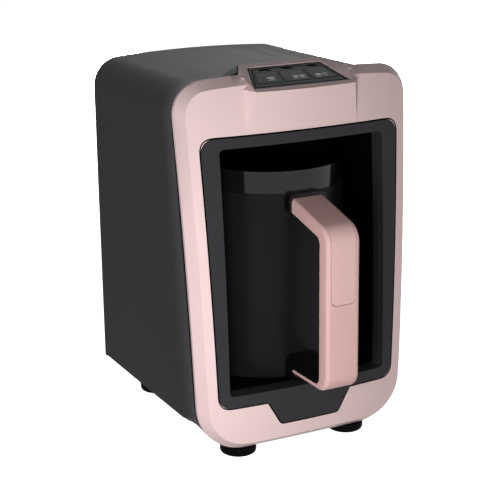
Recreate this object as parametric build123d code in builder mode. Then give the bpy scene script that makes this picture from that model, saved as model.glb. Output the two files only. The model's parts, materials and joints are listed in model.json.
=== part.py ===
"""An electric Turkish coffee maker: a leaning pink front frame round a glossy black bezel,
a black wrap-round shell, a lit brewing bay with a hot plate, and a lift-out pot with a
loop handle. Three keys lie in a sloping console over the bay.

Axes: +X to the machine's left-hand side seen from behind, +Y to the back, +Z up. The front
faces -Y. The origin is the middle of the overall footprint, at the level of the table.
"""

import os
from math import atan, cos, degrees, radians, sin

from build123d import *

os.makedirs("parts", exist_ok=True)

# ---------------------------------------------------------------- driving dimensions (mm)
# Overall reach in Y
body_depth = 176.0  # front datum to the back of the shell
handle_reach = 45.4  # front datum to the front of the pot's handle
gland_reach = 6.0  # how far the cord gland stands out of the back

# Front frame, seen from the front
frame_bottom_half = 78.4
frame_top_half = 88.4
frame_bottom_z = 8.2
frame_top_z = 254.9
frame_bottom_crown = 1.5
frame_top_crown = 3.8
frame_bottom_radius = 33.0
frame_top_radius = 21.0
frame_thickness = 9.0
frame_skin = 3.0
bevel_across = 6.8
bevel_back = 5.1
pocket_inset = 6.5
window_rim = 2.5

# Crown of the front face
lean = 0.08  # set-back per unit of height
crease_bottom_z = 14.6
crease_height = 233.4
face_half_width = 81.0
upright_bow = 3.2
level_bulge = 5.4

# Bezel window in the frame, and the bezel
window_bottom_half = 67.0
window_top_half = 74.3
window_bottom_z = 41.1
window_top_z = 220.6
window_radius = 9.0
tab_top_half = 31.8
tab_bottom_half = 22.0
tab_bottom_z = 24.7
tab_radius = 3.0
bezel_gap = 0.3
bezel_proud = 0.4
bezel_depth = 10.0
bezel_flange = 2.6
bezel_flange_depth = 1.6
bezel_wall = 2.2
opening_bottom_half = 59.1
opening_top_half = 60.9
opening_bottom_z = 49.0
opening_top_z = 212.95
opening_radius = 2.5
opening_step = 0.8
opening_step_depth = 4.0

# Console: the tongue that runs back from the frame's top, and the brow under its lip
lip_half = 37.3
lip_y = 8.0
lip_z = 249.4
console_rear_half = 28.4
console_rear_y = 39.7
console_rear_z = 260.4
brow_foot_half = 41.5
brow_foot_z = 223.5
brow_top_half = 42.7
brow_top_y = 14.6
brow_top_z = 250.4
tongue_front_half = 41.2
tongue_front_y = 24.8
tongue_rear_half = 31.5
tongue_rear_y = 42.0
tongue_bottom_z = 247.0
tongue_radius = 4.0
tongue_gap = 0.5

# Control panel, in the sloping console plane: u across, v up the slope from the lip
panel_front_v = 5.0
panel_rear_v = 30.0
panel_front_half = 35.2
panel_rear_half = 27.0
panel_thickness = 2.2
panel_sunk = 0.8
panel_gap = 1.2
panel_ledge = 1.6
console_depth = 17.0
key_front_v = 10.0
key_rear_v = 24.0
key_margin = 3.0
key_divide_front = 10.9
key_divide_rear = 9.3
key_rib = 1.4
key_gap = 0.3
key_proud = 0.3
key_flange = 1.0
key_stem_radius = 2.2
key_travel = 0.9
board_drop = 12.0
board_thickness = 1.6
panel_post_radius = 1.3
switch_side = 6.0
switch_height = 3.5

# Shell
shell_wall = 2.6
shell_bottom_z = 22.9
shell_seam = 0.6
groove_width = 3.6
groove_depth = 1.1
shell_back_wall = 5.6
shell_back_radius = 6.5
shell_cap = 8.0
cover_half = 60.0
cover_bottom_z = 32.0
cover_top_z = 230.0
cover_radius = 10.0
cover_thickness = 2.4
cover_ledge = 4.0
cover_gap = 0.3

screw_post_radius = 4.6
screw_post_top = 42.0
front_post_y = 38.0
rear_post_y = body_depth - 18.0
shell_post_places = (
    (-63.0, front_post_y),
    (63.0, front_post_y),
    (-62.0, rear_post_y),
    (62.0, rear_post_y),
)
shell_rib_reach = 10.6
shell_rib_thickness = 2.4
cover_screw_inset = 6.0
cover_pad_radius = 6.5

# Base and feet
base_bottom_z = 20.4
base_thickness = 3.0
base_front_half = 56.5
base_side_half = 71.4
base_rear_half = 69.8
base_front_y = 12.0
base_side_y = 36.0
base_rear_y = body_depth - 8.0
base_corner_radius = 8.0
base_gap = 0.4
foot_radius = 12.5
foot_height = 6.6
foot_boss_radius = 8.0
foot_x = 43.0
front_foot_y = 17.8
rear_foot_y = body_depth - 32.0

# Brewing bay
liner_half = opening_top_half + 1.0
liner_wall = 2.2
liner_back_y = 124.0
liner_floor_z = 48.5
liner_ceiling_z = opening_top_z + 2.0
liner_radius = 26.0

# Hot plate and what is under it
pot_y = 61.5
plate_radius = 38.0
plate_top_z = 49.0
plate_thickness = 4.5
seal_width = 2.0
element_radius = 28.0
element_tube = 3.6
probe_radius = 6.4
probe_stem = 2.6
probe_travel = 1.5

# Pot
pot_radius = 53.4
pot_wall = 1.2
pot_stand = 0.3  # rest gap between hot plate and pot
pot_base_height = 0.9
pot_base_radius = 50.0
pot_foot_radius = 2.0
pot_seam_z = 179.6
collar_height = 15.1
pot_top_z = pot_seam_z + collar_height
collar_wall = 1.8
collar_cap = 1.2
spout_offset = 47.0
spout_foot_radius = 6.0
spout_top_radius = 11.0
spout_rise = 2.3
spout_wall = 1.4

# Handle, as a loop in the plane x = 0
handle_half_width = 12.4
handle_arm_top_z = 178.3
handle_bend_z = 166.3
handle_foot_z = 56.9
handle_grip = 10.6
handle_upper_arm = 9.8
handle_lower_arm = 3.0
handle_root_y = 5.5
handle_foot_root_y = -1.0
handle_bend_radius = 13.0
handle_foot_radius = 12.0
inlay_half = 9.0
inlay_depth = 1.6
inlay_bottom_z = 117.0
inlay_gap = 0.3

# Fasteners and fits
seat_gap = 0.2
screw_radius = 1.5
screw_head_radius = 3.0
screw_gap = 0.1

# ---------------------------------------------------------------- worked-out places
front_y = (handle_reach - body_depth - gland_reach) / 2
base_top_z = base_bottom_z + base_thickness
back_y = front_y + body_depth
pot_centre_y = front_y + pot_y
pot_rest_z = plate_top_z + pot_stand
lean_angle = degrees(atan(lean))
lean_sin = sin(radians(lean_angle))
lean_cos = cos(radians(lean_angle))
crease_middle_z = crease_bottom_z + crease_height / 2
crown_front_y = front_y + lean * crease_height / 2 - upright_bow - level_bulge
level_radius = face_half_width**2 / (2 * level_bulge) + level_bulge / 2
upright_radius = (crease_height / 2) ** 2 / (2 * upright_bow) + upright_bow / 2


def face_y(x, z):
    """Depth of the crowned front face at a place seen from the front."""
    rise = z - crease_middle_z
    return crown_front_y + lean * rise + rise**2 / (2 * upright_radius) + x**2 / (2 * level_radius)


def facet(first, second, third):
    """Plane through three corners, facing the side from which they run anticlockwise."""
    start, middle, end = Vector(first), Vector(second), Vector(third)
    return Plane(origin=start, x_dir=middle - start, z_dir=(middle - start).cross(end - start))


def mirrored(point):
    """The same corner on the other side of the middle plane."""
    return (-point[0], point[1], point[2])


def save(piece, name):
    """Label a finished piece and write it as its own STEP file."""
    piece.part.label = name
    export_step(piece.part, f"parts/{name}.step")


# ---------------------------------------------------------------- crowned front surface
crown_reach = crease_height
crown_depth = 300.0


def crown_body(setback):
    """Everything behind the crowned front surface, set back by a distance.

    The surface is turned about a leaning axis far behind the machine. The profile is drawn
    on the far side of the axis, so that the front is one seamless face.
    """
    start = Vector(
        0,
        crown_front_y + level_radius * lean_cos + setback,
        crease_middle_z - level_radius * lean_sin,
    )
    sketch_plane = Plane(origin=start, x_dir=(0, lean_cos, -lean_sin), z_dir=(1, 0, 0))
    sag = crown_reach**2 / (2 * upright_radius)
    with BuildPart(mode=Mode.PRIVATE) as ring:
        with BuildSketch(sketch_plane):
            with BuildLine():
                ThreePointArc(
                    (level_radius - sag, -crown_reach),
                    (level_radius, 0),
                    (level_radius - sag, crown_reach),
                )
                Polyline(
                    (level_radius - sag, crown_reach),
                    (level_radius - crown_depth, crown_reach),
                    (level_radius - crown_depth, -crown_reach),
                    (level_radius - sag, -crown_reach),
                )
            make_face()
        revolve(axis=Axis(start, (0, lean_sin, lean_cos)))
    return ring.part


def frame_outline(inset):
    """The frame's outline seen from the front, drawn smaller by an inset."""
    bottom_half = frame_bottom_half - inset
    top_half = frame_top_half - inset
    bottom_z = frame_bottom_z + inset
    top_z = frame_top_z - inset
    with BuildSketch(mode=Mode.PRIVATE) as outline:
        with BuildLine():
            bottom_middle = bottom_z + frame_bottom_crown
            top_middle = top_z + frame_top_crown
            ThreePointArc((-bottom_half, bottom_z), (0, bottom_middle), (bottom_half, bottom_z))
            Line((bottom_half, bottom_z), (top_half, top_z))
            ThreePointArc((top_half, top_z), (0, top_middle), (-top_half, top_z))
            Line((-top_half, top_z), (-bottom_half, bottom_z))
        make_face()
        corners = outline.vertices().sort_by(Axis.Y)
        fillet(corners[:2], frame_bottom_radius - inset)
        fillet(outline.vertices().sort_by(Axis.Y)[-2:], frame_top_radius - inset)
    return outline.sketch


def window_outline(growth):
    """The bezel's outline with its hanging tab, grown by a clearance all round."""
    slope = (window_top_half - window_bottom_half) / (window_top_z - window_bottom_z)
    with BuildSketch(mode=Mode.PRIVATE) as outline:
        with BuildLine():
            Polyline(
                (-window_bottom_half + slope * growth - growth, window_bottom_z - growth),
                (-tab_top_half - growth / 2, window_bottom_z - growth),
                (-tab_bottom_half - growth / 2, tab_bottom_z - growth),
                (tab_bottom_half + growth / 2, tab_bottom_z - growth),
                (tab_top_half + growth / 2, window_bottom_z - growth),
                (window_bottom_half - slope * growth + growth, window_bottom_z - growth),
                (window_top_half + growth, window_top_z + growth),
                (-window_top_half - growth, window_top_z + growth),
                close=True,
            )
        make_face()
        wide = outline.vertices().filter_by(lambda corner: abs(corner.X) > tab_top_half + 10)
        fillet(wide, window_radius + growth)
        foot = outline.vertices().sort_by(Axis.Y)[:2]
        fillet(foot, tab_radius + growth)
    return outline.sketch


def opening_outline(growth, drop):
    """The bay's opening through the bezel, grown at its sides and top and dropped below."""
    with BuildSketch(mode=Mode.PRIVATE) as outline:
        with BuildLine():
            Polyline(
                (-opening_bottom_half - growth, opening_bottom_z - drop),
                (opening_bottom_half + growth, opening_bottom_z - drop),
                (opening_top_half + growth, opening_top_z + growth),
                (-opening_top_half - growth, opening_top_z + growth),
                close=True,
            )
        make_face()
        fillet(outline.vertices(), opening_radius + growth)
    return outline.sketch


front_plane = Plane.XZ.offset(-front_y)
through_reach = 80.0

# ---------------------------------------------------------------- front_frame
# Corners of the console, left side; the right side is their mirror image
brow_foot = (-brow_foot_half, face_y(brow_foot_half, brow_foot_z), brow_foot_z)
brow_top = (-brow_top_half, front_y + brow_top_y, brow_top_z)
lip = (-lip_half, front_y + lip_y, lip_z)
console_rear = (-console_rear_half, front_y + console_rear_y, console_rear_z)
shoulder_z = frame_top_z + frame_top_crown * (1 - (tongue_front_half / frame_top_half) ** 2)
shoulder = (-brow_top_half, front_y + brow_top_y + bevel_back, shoulder_z)
tongue_front = (-tongue_front_half, front_y + tongue_front_y, shoulder_z)

v_facets = (facet(brow_foot, brow_top, lip), facet(*map(mirrored, (brow_foot, lip, brow_top))))
cheek_facets = (
    facet(brow_top, lip, tongue_front),
    facet(*map(mirrored, (brow_top, tongue_front, lip))),
)
flank_facets = (
    facet(lip, console_rear, shoulder),
    facet(*map(mirrored, (lip, shoulder, console_rear))),
)
console_slope = degrees(atan((console_rear_z - lip_z) / (console_rear_y - lip_y)))
console_plane = Plane(
    origin=(0, front_y + lip_y, lip_z),
    x_dir=(1, 0, 0),
    z_dir=(0, -sin(radians(console_slope)), cos(radians(console_slope))),
)
tongue_top = facet(tongue_front, mirrored(tongue_front), console_rear)
brow_lean = (front_y + lip_y - face_y(lip_half, brow_foot_z)) / (lip_z - brow_foot_z)
brow_reach = 40.0

with BuildPart() as brow:
    brow_axis = Vector(0, face_y(0, brow_foot_z) + level_radius, brow_foot_z)
    with BuildSketch(Plane(origin=brow_axis, x_dir=(0, 1, 0), z_dir=(1, 0, 0))):
        with BuildLine():
            Polyline(
                (level_radius, 0),
                (level_radius - brow_lean * brow_reach, brow_reach),
                (level_radius - brow_reach, brow_reach),
                (level_radius - brow_reach, 0),
                close=True,
            )
        make_face()
    revolve(axis=Axis(brow_axis, (0, 0, 1)))
    with BuildSketch(front_plane):
        with Locations((0, brow_foot_z + brow_reach / 2)):
            Rectangle(3 * brow_top_half, brow_reach)
    extrude(amount=through_reach, both=True, mode=Mode.INTERSECT)
    for plane in v_facets:
        split(bisect_by=plane, keep=Keep.TOP)
    for plane in cheek_facets:
        split(bisect_by=plane, keep=Keep.BOTTOM)
    add(crown_body(frame_thickness), mode=Mode.SUBTRACT)

with BuildPart() as console_trough:
    with Locations((0, front_y + tongue_front_y, lip_z)):
        Box(4 * brow_top_half, 4 * tongue_front_y, 4 * brow_top_half)
    split(bisect_by=console_plane, keep=Keep.TOP)
    for plane in flank_facets:
        split(bisect_by=plane, keep=Keep.TOP)


def tongue_plan(gap):
    """The tongue's outline seen from above, grown by a gap."""
    with BuildSketch(mode=Mode.PRIVATE) as plan:
        with BuildLine():
            Polyline(
                (-tongue_front_half - gap, front_y + brow_top_y + bevel_back),
                (-tongue_front_half - gap, front_y + tongue_front_y),
                (-tongue_rear_half - gap, front_y + tongue_rear_y + gap),
                (tongue_rear_half + gap, front_y + tongue_rear_y + gap),
                (tongue_front_half + gap, front_y + tongue_front_y),
                (tongue_front_half + gap, front_y + brow_top_y + bevel_back),
                close=True,
            )
        make_face()
        fillet(plan.vertices().sort_by(Axis.Y)[-2:], tongue_radius)
    return plan.sketch


def console_quad(front_v, rear_v, growth):
    """A trapezium in the console plane that follows the panel's sides."""
    taper = (panel_front_half - panel_rear_half) / (panel_rear_v - panel_front_v)
    front_half = panel_front_half - taper * (front_v - panel_front_v) + growth
    rear_half = panel_front_half - taper * (rear_v - panel_front_v) + growth
    with BuildSketch(mode=Mode.PRIVATE) as quad:
        with BuildLine():
            Polyline(
                (-front_half, front_v),
                (front_half, front_v),
                (rear_half, rear_v),
                (-rear_half, rear_v),
                close=True,
            )
        make_face()
    return quad.sketch


with BuildPart() as front_frame:
    with BuildSketch(front_plane):
        add(frame_outline(0))
    extrude(amount=through_reach, both=True)
    add(crown_body(0), mode=Mode.INTERSECT)
    add(crown_body(frame_thickness), mode=Mode.SUBTRACT)
    face = front_frame.faces().sort_by(SortBy.AREA)[-2:].sort_by(Axis.Y)[0]
    chamfer(face.outer_wire().edges(), length=bevel_back, length2=bevel_across, reference=face)
    with BuildSketch(Plane.XY.offset(tongue_bottom_z)):
        add(tongue_plan(0))
    extrude(amount=brow_reach)
    split(bisect_by=tongue_top, keep=Keep.BOTTOM)
    add(brow.part)
    add(console_trough.part, mode=Mode.SUBTRACT)
    # recess for the panel, and the well under it for keys and circuit board
    with BuildSketch(console_plane):
        add(console_quad(panel_front_v - panel_gap, panel_rear_v + panel_gap, panel_gap))
    extrude(amount=-(panel_sunk + panel_thickness + seat_gap), mode=Mode.SUBTRACT)
    with BuildSketch(console_plane):
        add(console_quad(panel_front_v + 0.5, panel_rear_v - panel_ledge, -panel_ledge))
    extrude(amount=-console_depth, mode=Mode.SUBTRACT)

with BuildPart() as frame_pocket:
    with BuildSketch(front_plane):
        add(frame_outline(pocket_inset))
        add(window_outline(window_rim), mode=Mode.SUBTRACT)
    extrude(amount=through_reach, both=True)
    add(crown_body(frame_skin), mode=Mode.INTERSECT)
    with BuildSketch(Plane.XY.offset(tongue_bottom_z)):
        with Locations((0, front_y + tongue_rear_y)):
            Rectangle(4 * tongue_front_half, 2 * tongue_rear_y)
    extrude(amount=brow_reach, mode=Mode.SUBTRACT)

with BuildPart() as frame_window:
    with BuildSketch(front_plane):
        add(window_outline(bezel_gap))
    extrude(amount=through_reach, both=True)

with front_frame:
    add(frame_pocket.part, mode=Mode.SUBTRACT)
    add(frame_window.part, mode=Mode.SUBTRACT)
save(front_frame, "front_frame")

# ---------------------------------------------------------------- front_bezel
bezel_rear = bezel_depth - bezel_flange_depth

with BuildPart() as bezel_flange_ring:
    with BuildSketch(front_plane):
        add(window_outline(bezel_flange))
    extrude(amount=through_reach, both=True)
    add(crown_body(frame_thickness + seat_gap), mode=Mode.INTERSECT)
    add(crown_body(frame_thickness + seat_gap + bezel_flange_depth), mode=Mode.SUBTRACT)

with BuildPart() as bezel_hollow:
    with BuildSketch(front_plane):
        add(window_outline(-bezel_wall))
        add(opening_outline(bezel_wall, bezel_wall), mode=Mode.SUBTRACT)
    extrude(amount=through_reach, both=True)
    add(crown_body(bezel_wall), mode=Mode.INTERSECT)

with BuildPart() as opening_recess:
    with BuildSketch(front_plane):
        add(opening_outline(opening_step, 0))
    extrude(amount=through_reach, both=True)
    add(crown_body(opening_step_depth), mode=Mode.SUBTRACT)

with BuildPart() as front_bezel:
    with BuildSketch(front_plane):
        add(window_outline(0))
    extrude(amount=through_reach, both=True)
    add(crown_body(-bezel_proud), mode=Mode.INTERSECT)
    add(crown_body(frame_thickness + seat_gap + bezel_flange_depth), mode=Mode.SUBTRACT)
    add(bezel_flange_ring.part)
    with BuildSketch(front_plane):
        add(opening_outline(0, 0))
    extrude(amount=through_reach, both=True, mode=Mode.SUBTRACT)
    add(opening_recess.part, mode=Mode.SUBTRACT)
    add(bezel_hollow.part, mode=Mode.SUBTRACT)
save(front_bezel, "front_bezel")
bezel_back_setback = frame_thickness + seat_gap + bezel_flange_depth

# ---------------------------------------------------------------- outer_shell
# Sections: set-back, leaning or upright, half width at the bottom and the top, top corner
# height, height at the middle, bottom height, radius of the bottom corners
rim_inset = 0.85
rim_bottom_half = frame_bottom_half - rim_inset + 0.6
rim_top_half = frame_top_half - rim_inset
rim_corner_z = frame_top_z - 1.0
rim_middle_z = frame_top_z + frame_top_crown - 1.2
rim_foot_z = frame_bottom_z + rim_inset
rim_foot_radius = frame_bottom_radius - rim_inset
shell_edge_radius = 1.2
shell_inner_radius = 0.4
shell_sections = (
    (2.0, True, rim_bottom_half, rim_top_half, rim_corner_z, rim_middle_z, rim_foot_z, rim_foot_radius),
    (11.0, True, rim_bottom_half, rim_top_half, rim_corner_z, rim_middle_z, rim_foot_z, rim_foot_radius),
    (16.0, True, 77.1, 86.0, 253.2, 257.0, 12.4, 26.0),
    (22.0, True, 76.3, 84.2, 252.3, 256.2, 18.0, 16.0),
    (29.0, True, 75.7, 82.7, 251.4, 255.4, 22.0, 7.0),
    (37.0, True, 75.3, 82.0, 250.6, 254.6, shell_bottom_z, shell_edge_radius),
    (100.0, False, 74.6, 80.6, 248.4, 252.2, shell_bottom_z, shell_edge_radius),
    (body_depth - shell_cap, False, 73.1, 78.2, 246.6, 250.0, shell_bottom_z, shell_edge_radius),
)
shell_corner_radius = 20.0


def shell_plane(setback, leaning):
    """A section plane across the shell, leaning like the front face or upright."""
    if leaning:
        start = (0, front_y + setback - lean * crease_bottom_z, 0)
        return Plane(origin=start, x_dir=(1, 0, 0), z_dir=(0, -lean_cos, lean_sin))
    return Plane.XZ.offset(-(front_y + setback))


def shell_section(bottom_half, top_half, corner_z, middle_z, foot_z, corner_radius, inset):
    """One section of the shell: straight flanks, crowned top, rounded bottom corners."""
    slope = (top_half - bottom_half) / (corner_z - shell_bottom_z)
    low_z = foot_z + inset
    low_half = bottom_half - slope * (shell_bottom_z - low_z) - inset
    with BuildSketch(mode=Mode.PRIVATE) as section:
        with BuildLine():
            Line((-low_half, low_z), (low_half, low_z))
            Line((low_half, low_z), (top_half - inset, corner_z - inset))
            ThreePointArc(
                (top_half - inset, corner_z - inset),
                (0, middle_z - inset),
                (-top_half + inset, corner_z - inset),
            )
            Line((-top_half + inset, corner_z - inset), (-low_half, low_z))
        make_face()
        fillet(section.vertices().sort_by(Axis.Y)[-2:], shell_corner_radius - inset)
        if corner_radius:
            low_radius = max(corner_radius - inset, shell_inner_radius)
            fillet(section.vertices().sort_by(Axis.Y)[:2], low_radius)
    return section.sketch


def shell_cap_body(inset, back_wall, back_radius=0.0):
    """The last few millimetres of the shell's length, with a rounded back edge."""
    with BuildPart(mode=Mode.PRIVATE) as cap:
        with BuildSketch(shell_plane(body_depth - shell_cap, False)):
            add(shell_section(*shell_sections[-1][2:-1], 0.0, inset))
        extrude(amount=-(shell_cap - back_wall))
        if back_radius:
            rim = cap.faces().sort_by(Axis.Y)[-1].outer_wire().edges()
            fillet(rim.filter_by(lambda edge: edge.center().Z > shell_bottom_z + 1), back_radius)
    return cap.part


def shell_loft(inset):
    """The shell's flared body in front of its cap."""
    with BuildPart(mode=Mode.PRIVATE) as body:
        for setback, leaning, *outline in shell_sections:
            with BuildSketch(shell_plane(setback, leaning)):
                add(shell_section(*outline, inset))
        loft(ruled=True)
    return body.part


def base_plan(growth):
    """The base plate's outline seen from above, grown by a clearance."""
    with BuildSketch(mode=Mode.PRIVATE) as plan:
        with BuildLine():
            Polyline(
                (-base_front_half - growth, front_y + base_front_y - growth),
                (base_front_half + growth, front_y + base_front_y - growth),
                (base_side_half + growth, front_y + base_side_y - growth),
                (base_rear_half + growth, front_y + base_rear_y + growth),
                (-base_rear_half - growth, front_y + base_rear_y + growth),
                (-base_side_half - growth, front_y + base_side_y - growth),
                close=True,
            )
        make_face()
        fillet(plan.vertices(), base_corner_radius)
    return plan.sketch


with BuildPart() as groove_ring:
    with BuildSketch(front_plane):
        add(frame_outline(-5.0))
        add(frame_outline(groove_depth + 0.9), mode=Mode.SUBTRACT)
    extrude(amount=through_reach, both=True)
    add(crown_body(frame_thickness + shell_seam + groove_width), mode=Mode.SUBTRACT)

# Ramp of the shell's top that meets the back of the console tongue
ramp_sections = (
    (14.0, 64.0, 252.0, 42.0, 257.0),
    (25.0, 60.0, 252.0, 41.5, 258.0),
    (42.6, 50.0, 252.0, 33.0, 260.2),
    (54.0, 42.0, 250.0, 24.0, 257.6),
    (72.0, 34.0, 248.0, 14.0, 253.2),
)
with BuildPart() as console_ramp:
    for setback, foot_half, foot_z, head_half, head_z in ramp_sections:
        with BuildSketch(Plane.XZ.offset(-(front_y + setback))):
            Polygon(
                (-foot_half, foot_z),
                (foot_half, foot_z),
                (head_half, head_z),
                (-head_half, head_z),
                align=None,
            )
    loft(ruled=True)

with BuildPart() as shell_posts:
    with BuildSketch(Plane.XY.offset(base_top_z + seat_gap)):
        for x, y in shell_post_places:
            side = 1 if x > 0 else -1
            with Locations((x, front_y + y)):
                Circle(screw_post_radius)
            with Locations((x + side * shell_rib_reach / 2, front_y + y)):
                Rectangle(shell_rib_reach, shell_rib_thickness)
    extrude(amount=screw_post_top - base_top_z)

cover_screw_places = [
    (side * (cover_half - cover_screw_inset), height)
    for side in (-1, 1)
    for height in (cover_bottom_z + cover_screw_inset, cover_top_z - cover_screw_inset)
]

with BuildPart() as outer_shell:
    add(shell_loft(0.0))
    add(shell_cap_body(0.0, 0.0, shell_back_radius))
    add(console_ramp.part)
    add(shell_loft(shell_wall), mode=Mode.SUBTRACT)
    add(shell_cap_body(shell_wall, shell_back_wall), mode=Mode.SUBTRACT)
    # opening underneath for the base plate and the front feet
    with BuildSketch():
        add(base_plan(base_gap))
        with Locations((0, front_y)):
            Rectangle(2 * (base_front_half + base_gap), 2 * base_side_y)
    extrude(amount=base_top_z + shell_wall, mode=Mode.SUBTRACT)
    add(shell_posts.part)
    with Locations(*[(x, front_y + y, base_top_z) for x, y in shell_post_places]):
        Cylinder(
            screw_radius + screw_gap,
            30.0,
            align=(Align.CENTER, Align.CENTER, Align.MIN),
            mode=Mode.SUBTRACT,
        )
    # front edge follows the frame's crown, with a shadow groove round it
    front_waste = Box(400, 200, 600, mode=Mode.PRIVATE)
    front_waste = front_waste.moved(Location((0, front_y - 40, 200)))
    front_waste = front_waste - crown_body(frame_thickness + shell_seam)
    add(front_waste, mode=Mode.SUBTRACT)
    add(groove_ring.part, mode=Mode.SUBTRACT)
    # slot for the console tongue
    with BuildSketch(Plane.XY.offset(tongue_bottom_z - 8)):
        add(tongue_plan(tongue_gap))
        with Locations((0, front_y + tongue_front_y / 2)):
            Rectangle(2 * (tongue_front_half + tongue_gap), tongue_front_y)
    extrude(amount=brow_reach, mode=Mode.SUBTRACT)
    # back opening with a ledge for the cover
    with BuildSketch(Plane.XZ.offset(-back_y)):
        with Locations((0, (cover_bottom_z + cover_top_z) / 2)):
            RectangleRounded(
                2 * (cover_half + cover_gap),
                cover_top_z - cover_bottom_z + 2 * cover_gap,
                cover_radius + cover_gap,
            )
    extrude(amount=cover_thickness + seat_gap, mode=Mode.SUBTRACT)
    with BuildSketch(Plane.XZ.offset(-back_y)):
        with Locations((0, (cover_bottom_z + cover_top_z) / 2)):
            RectangleRounded(
                2 * (cover_half - cover_ledge),
                cover_top_z - cover_bottom_z - 2 * cover_ledge,
                cover_radius - cover_ledge,
            )
        with Locations(*cover_screw_places):
            Circle(cover_pad_radius, mode=Mode.SUBTRACT)
    extrude(amount=2 * shell_back_wall, mode=Mode.SUBTRACT)
    with BuildSketch(Plane.XZ.offset(-back_y)):
        with Locations(*cover_screw_places):
            Circle(screw_radius + screw_gap)
    extrude(amount=2 * shell_back_wall, mode=Mode.SUBTRACT)
save(outer_shell, "outer_shell")

# ---------------------------------------------------------------- rear_cover
gland_z = 56.0
gland_bore = 3.6
gland_body = 7.0
gland_flange = 9.5
vent_rows = 9
vent_columns = 2
vent_pitch = 8.0
vent_length = 34.0
vent_height = 3.0
vent_middle_z = 168.0

with BuildPart() as rear_cover:
    with BuildSketch(Plane.XZ.offset(-back_y)):
        with Locations((0, (cover_bottom_z + cover_top_z) / 2)):
            RectangleRounded(2 * cover_half, cover_top_z - cover_bottom_z, cover_radius)
        with Locations((0, vent_middle_z)):
            with GridLocations(vent_length + 12.0, vent_pitch, vent_columns, vent_rows):
                SlotOverall(vent_length, vent_height, mode=Mode.SUBTRACT)
        with Locations((0, gland_z)):
            Circle(gland_body + screw_gap, mode=Mode.SUBTRACT)
        with Locations(*cover_screw_places):
            Circle(screw_radius + screw_gap, mode=Mode.SUBTRACT)
    extrude(amount=cover_thickness)
save(rear_cover, "rear_cover")

# ---------------------------------------------------------------- rear_screws
rear_head = 1.6
rear_shank = 5.0

with BuildPart() as rear_screws:
    with BuildSketch(Plane.XZ.offset(-back_y - rear_head)):
        with Locations(*cover_screw_places):
            Circle(screw_head_radius)
    extrude(amount=rear_head)
    fillet(rear_screws.faces().sort_by(Axis.Y)[-4:].edges(), 0.6)
    with BuildSketch(Plane.XZ.offset(-back_y)):
        with Locations(*cover_screw_places):
            Circle(screw_radius)
    extrude(amount=rear_shank)
save(rear_screws, "rear_screws")

# ---------------------------------------------------------------- cable_gland
gland_inside = 8.0
gland_nose = 5.6

with BuildPart() as cable_gland:
    with BuildSketch(Plane.YZ):
        with BuildLine():
            Polyline(
                (back_y - gland_inside, gland_z + gland_bore),
                (back_y - gland_inside, gland_z + gland_flange),
                (back_y - cover_thickness - seat_gap, gland_z + gland_flange),
                (back_y - cover_thickness - seat_gap, gland_z + gland_body),
                (back_y + seat_gap, gland_z + gland_body),
                (back_y + seat_gap, gland_z + gland_flange),
                (back_y + 2.0, gland_z + gland_flange),
                (back_y + gland_reach, gland_z + gland_nose),
                (back_y + gland_reach, gland_z + gland_bore),
                close=True,
            )
        make_face()
    revolve(axis=Axis((0, 0, gland_z), (0, 1, 0)))
save(cable_gland, "cable_gland")

# ---------------------------------------------------------------- base_plate
foot_places = [
    (side * foot_x, front_y + y) for side in (-1, 1) for y in (front_foot_y, rear_foot_y)
]
foot_stud = 3.0
foot_stud_length = 5.0
standoff_radius = 3.2
standoff_top = 32.0
power_half = 50.0
power_depth = 34.0
power_rear_y = body_depth - 9.5
power_front_y = power_rear_y - power_depth
power_middle_y = power_rear_y - power_depth / 2
standoff_inset = 5.0
standoff_places = [
    (side * (power_half - standoff_inset), front_y + y)
    for side in (-1, 1)
    for y in (power_front_y + standoff_inset, power_rear_y - standoff_inset)
]
base_vent_rows = 5
base_vent_pitch = 6.0
base_vent_length = 60.0
base_vent_width = 2.4

with BuildPart() as base_plate:
    with BuildSketch(Plane.XY.offset(base_bottom_z)):
        add(base_plan(0))
    extrude(amount=base_thickness)
    with BuildSketch(Plane.XY.offset(foot_height)):
        with Locations(*foot_places):
            Circle(foot_boss_radius)
    extrude(amount=base_bottom_z - foot_height)
    with BuildSketch(Plane.XY.offset(base_top_z)):
        with Locations(*standoff_places):
            Circle(standoff_radius)
    extrude(amount=standoff_top - base_top_z)
    with BuildSketch(Plane.XY.offset(foot_height)):
        with Locations(*foot_places):
            Circle(foot_stud)
    extrude(amount=foot_stud_length + seat_gap, mode=Mode.SUBTRACT)
    with BuildSketch(Plane.XY.offset(base_bottom_z)):
        with Locations(*[(x, front_y + y) for x, y in shell_post_places]):
            Circle(screw_radius + screw_gap)
        with Locations((0, front_y + power_middle_y)):
            with GridLocations(1.0, base_vent_pitch, 1, base_vent_rows):
                SlotOverall(base_vent_length, base_vent_width)
    extrude(amount=base_thickness, mode=Mode.SUBTRACT)
save(base_plate, "base_plate")

# ---------------------------------------------------------------- feet
with BuildPart() as feet:
    with BuildSketch():
        with Locations(*foot_places):
            Circle(foot_radius)
    extrude(amount=foot_height)
    fillet(feet.faces().sort_by(Axis.Z)[0:4].edges(), 0.8)
    fillet(feet.faces().sort_by(Axis.Z)[-4:].edges(), 0.8)
    with BuildSketch(Plane.XY.offset(foot_height)):
        with Locations(*foot_places):
            Circle(foot_stud)
    extrude(amount=foot_stud_length)
save(feet, "feet")

# ---------------------------------------------------------------- base_screws
base_screw_bite = 9.0

with BuildPart() as base_screws:
    with BuildSketch(Plane.XY.offset(base_bottom_z - rear_head)):
        with Locations(*[(x, front_y + y) for x, y in shell_post_places]):
            Circle(screw_head_radius)
    extrude(amount=rear_head)
    fillet(base_screws.faces().sort_by(Axis.Z)[0:4].edges(), 0.6)
    with BuildSketch(Plane.XY.offset(base_bottom_z)):
        with Locations(*[(x, front_y + y) for x, y in shell_post_places]):
            Circle(screw_radius)
    extrude(amount=base_thickness + base_screw_bite)
save(base_screws, "base_screws")

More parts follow.
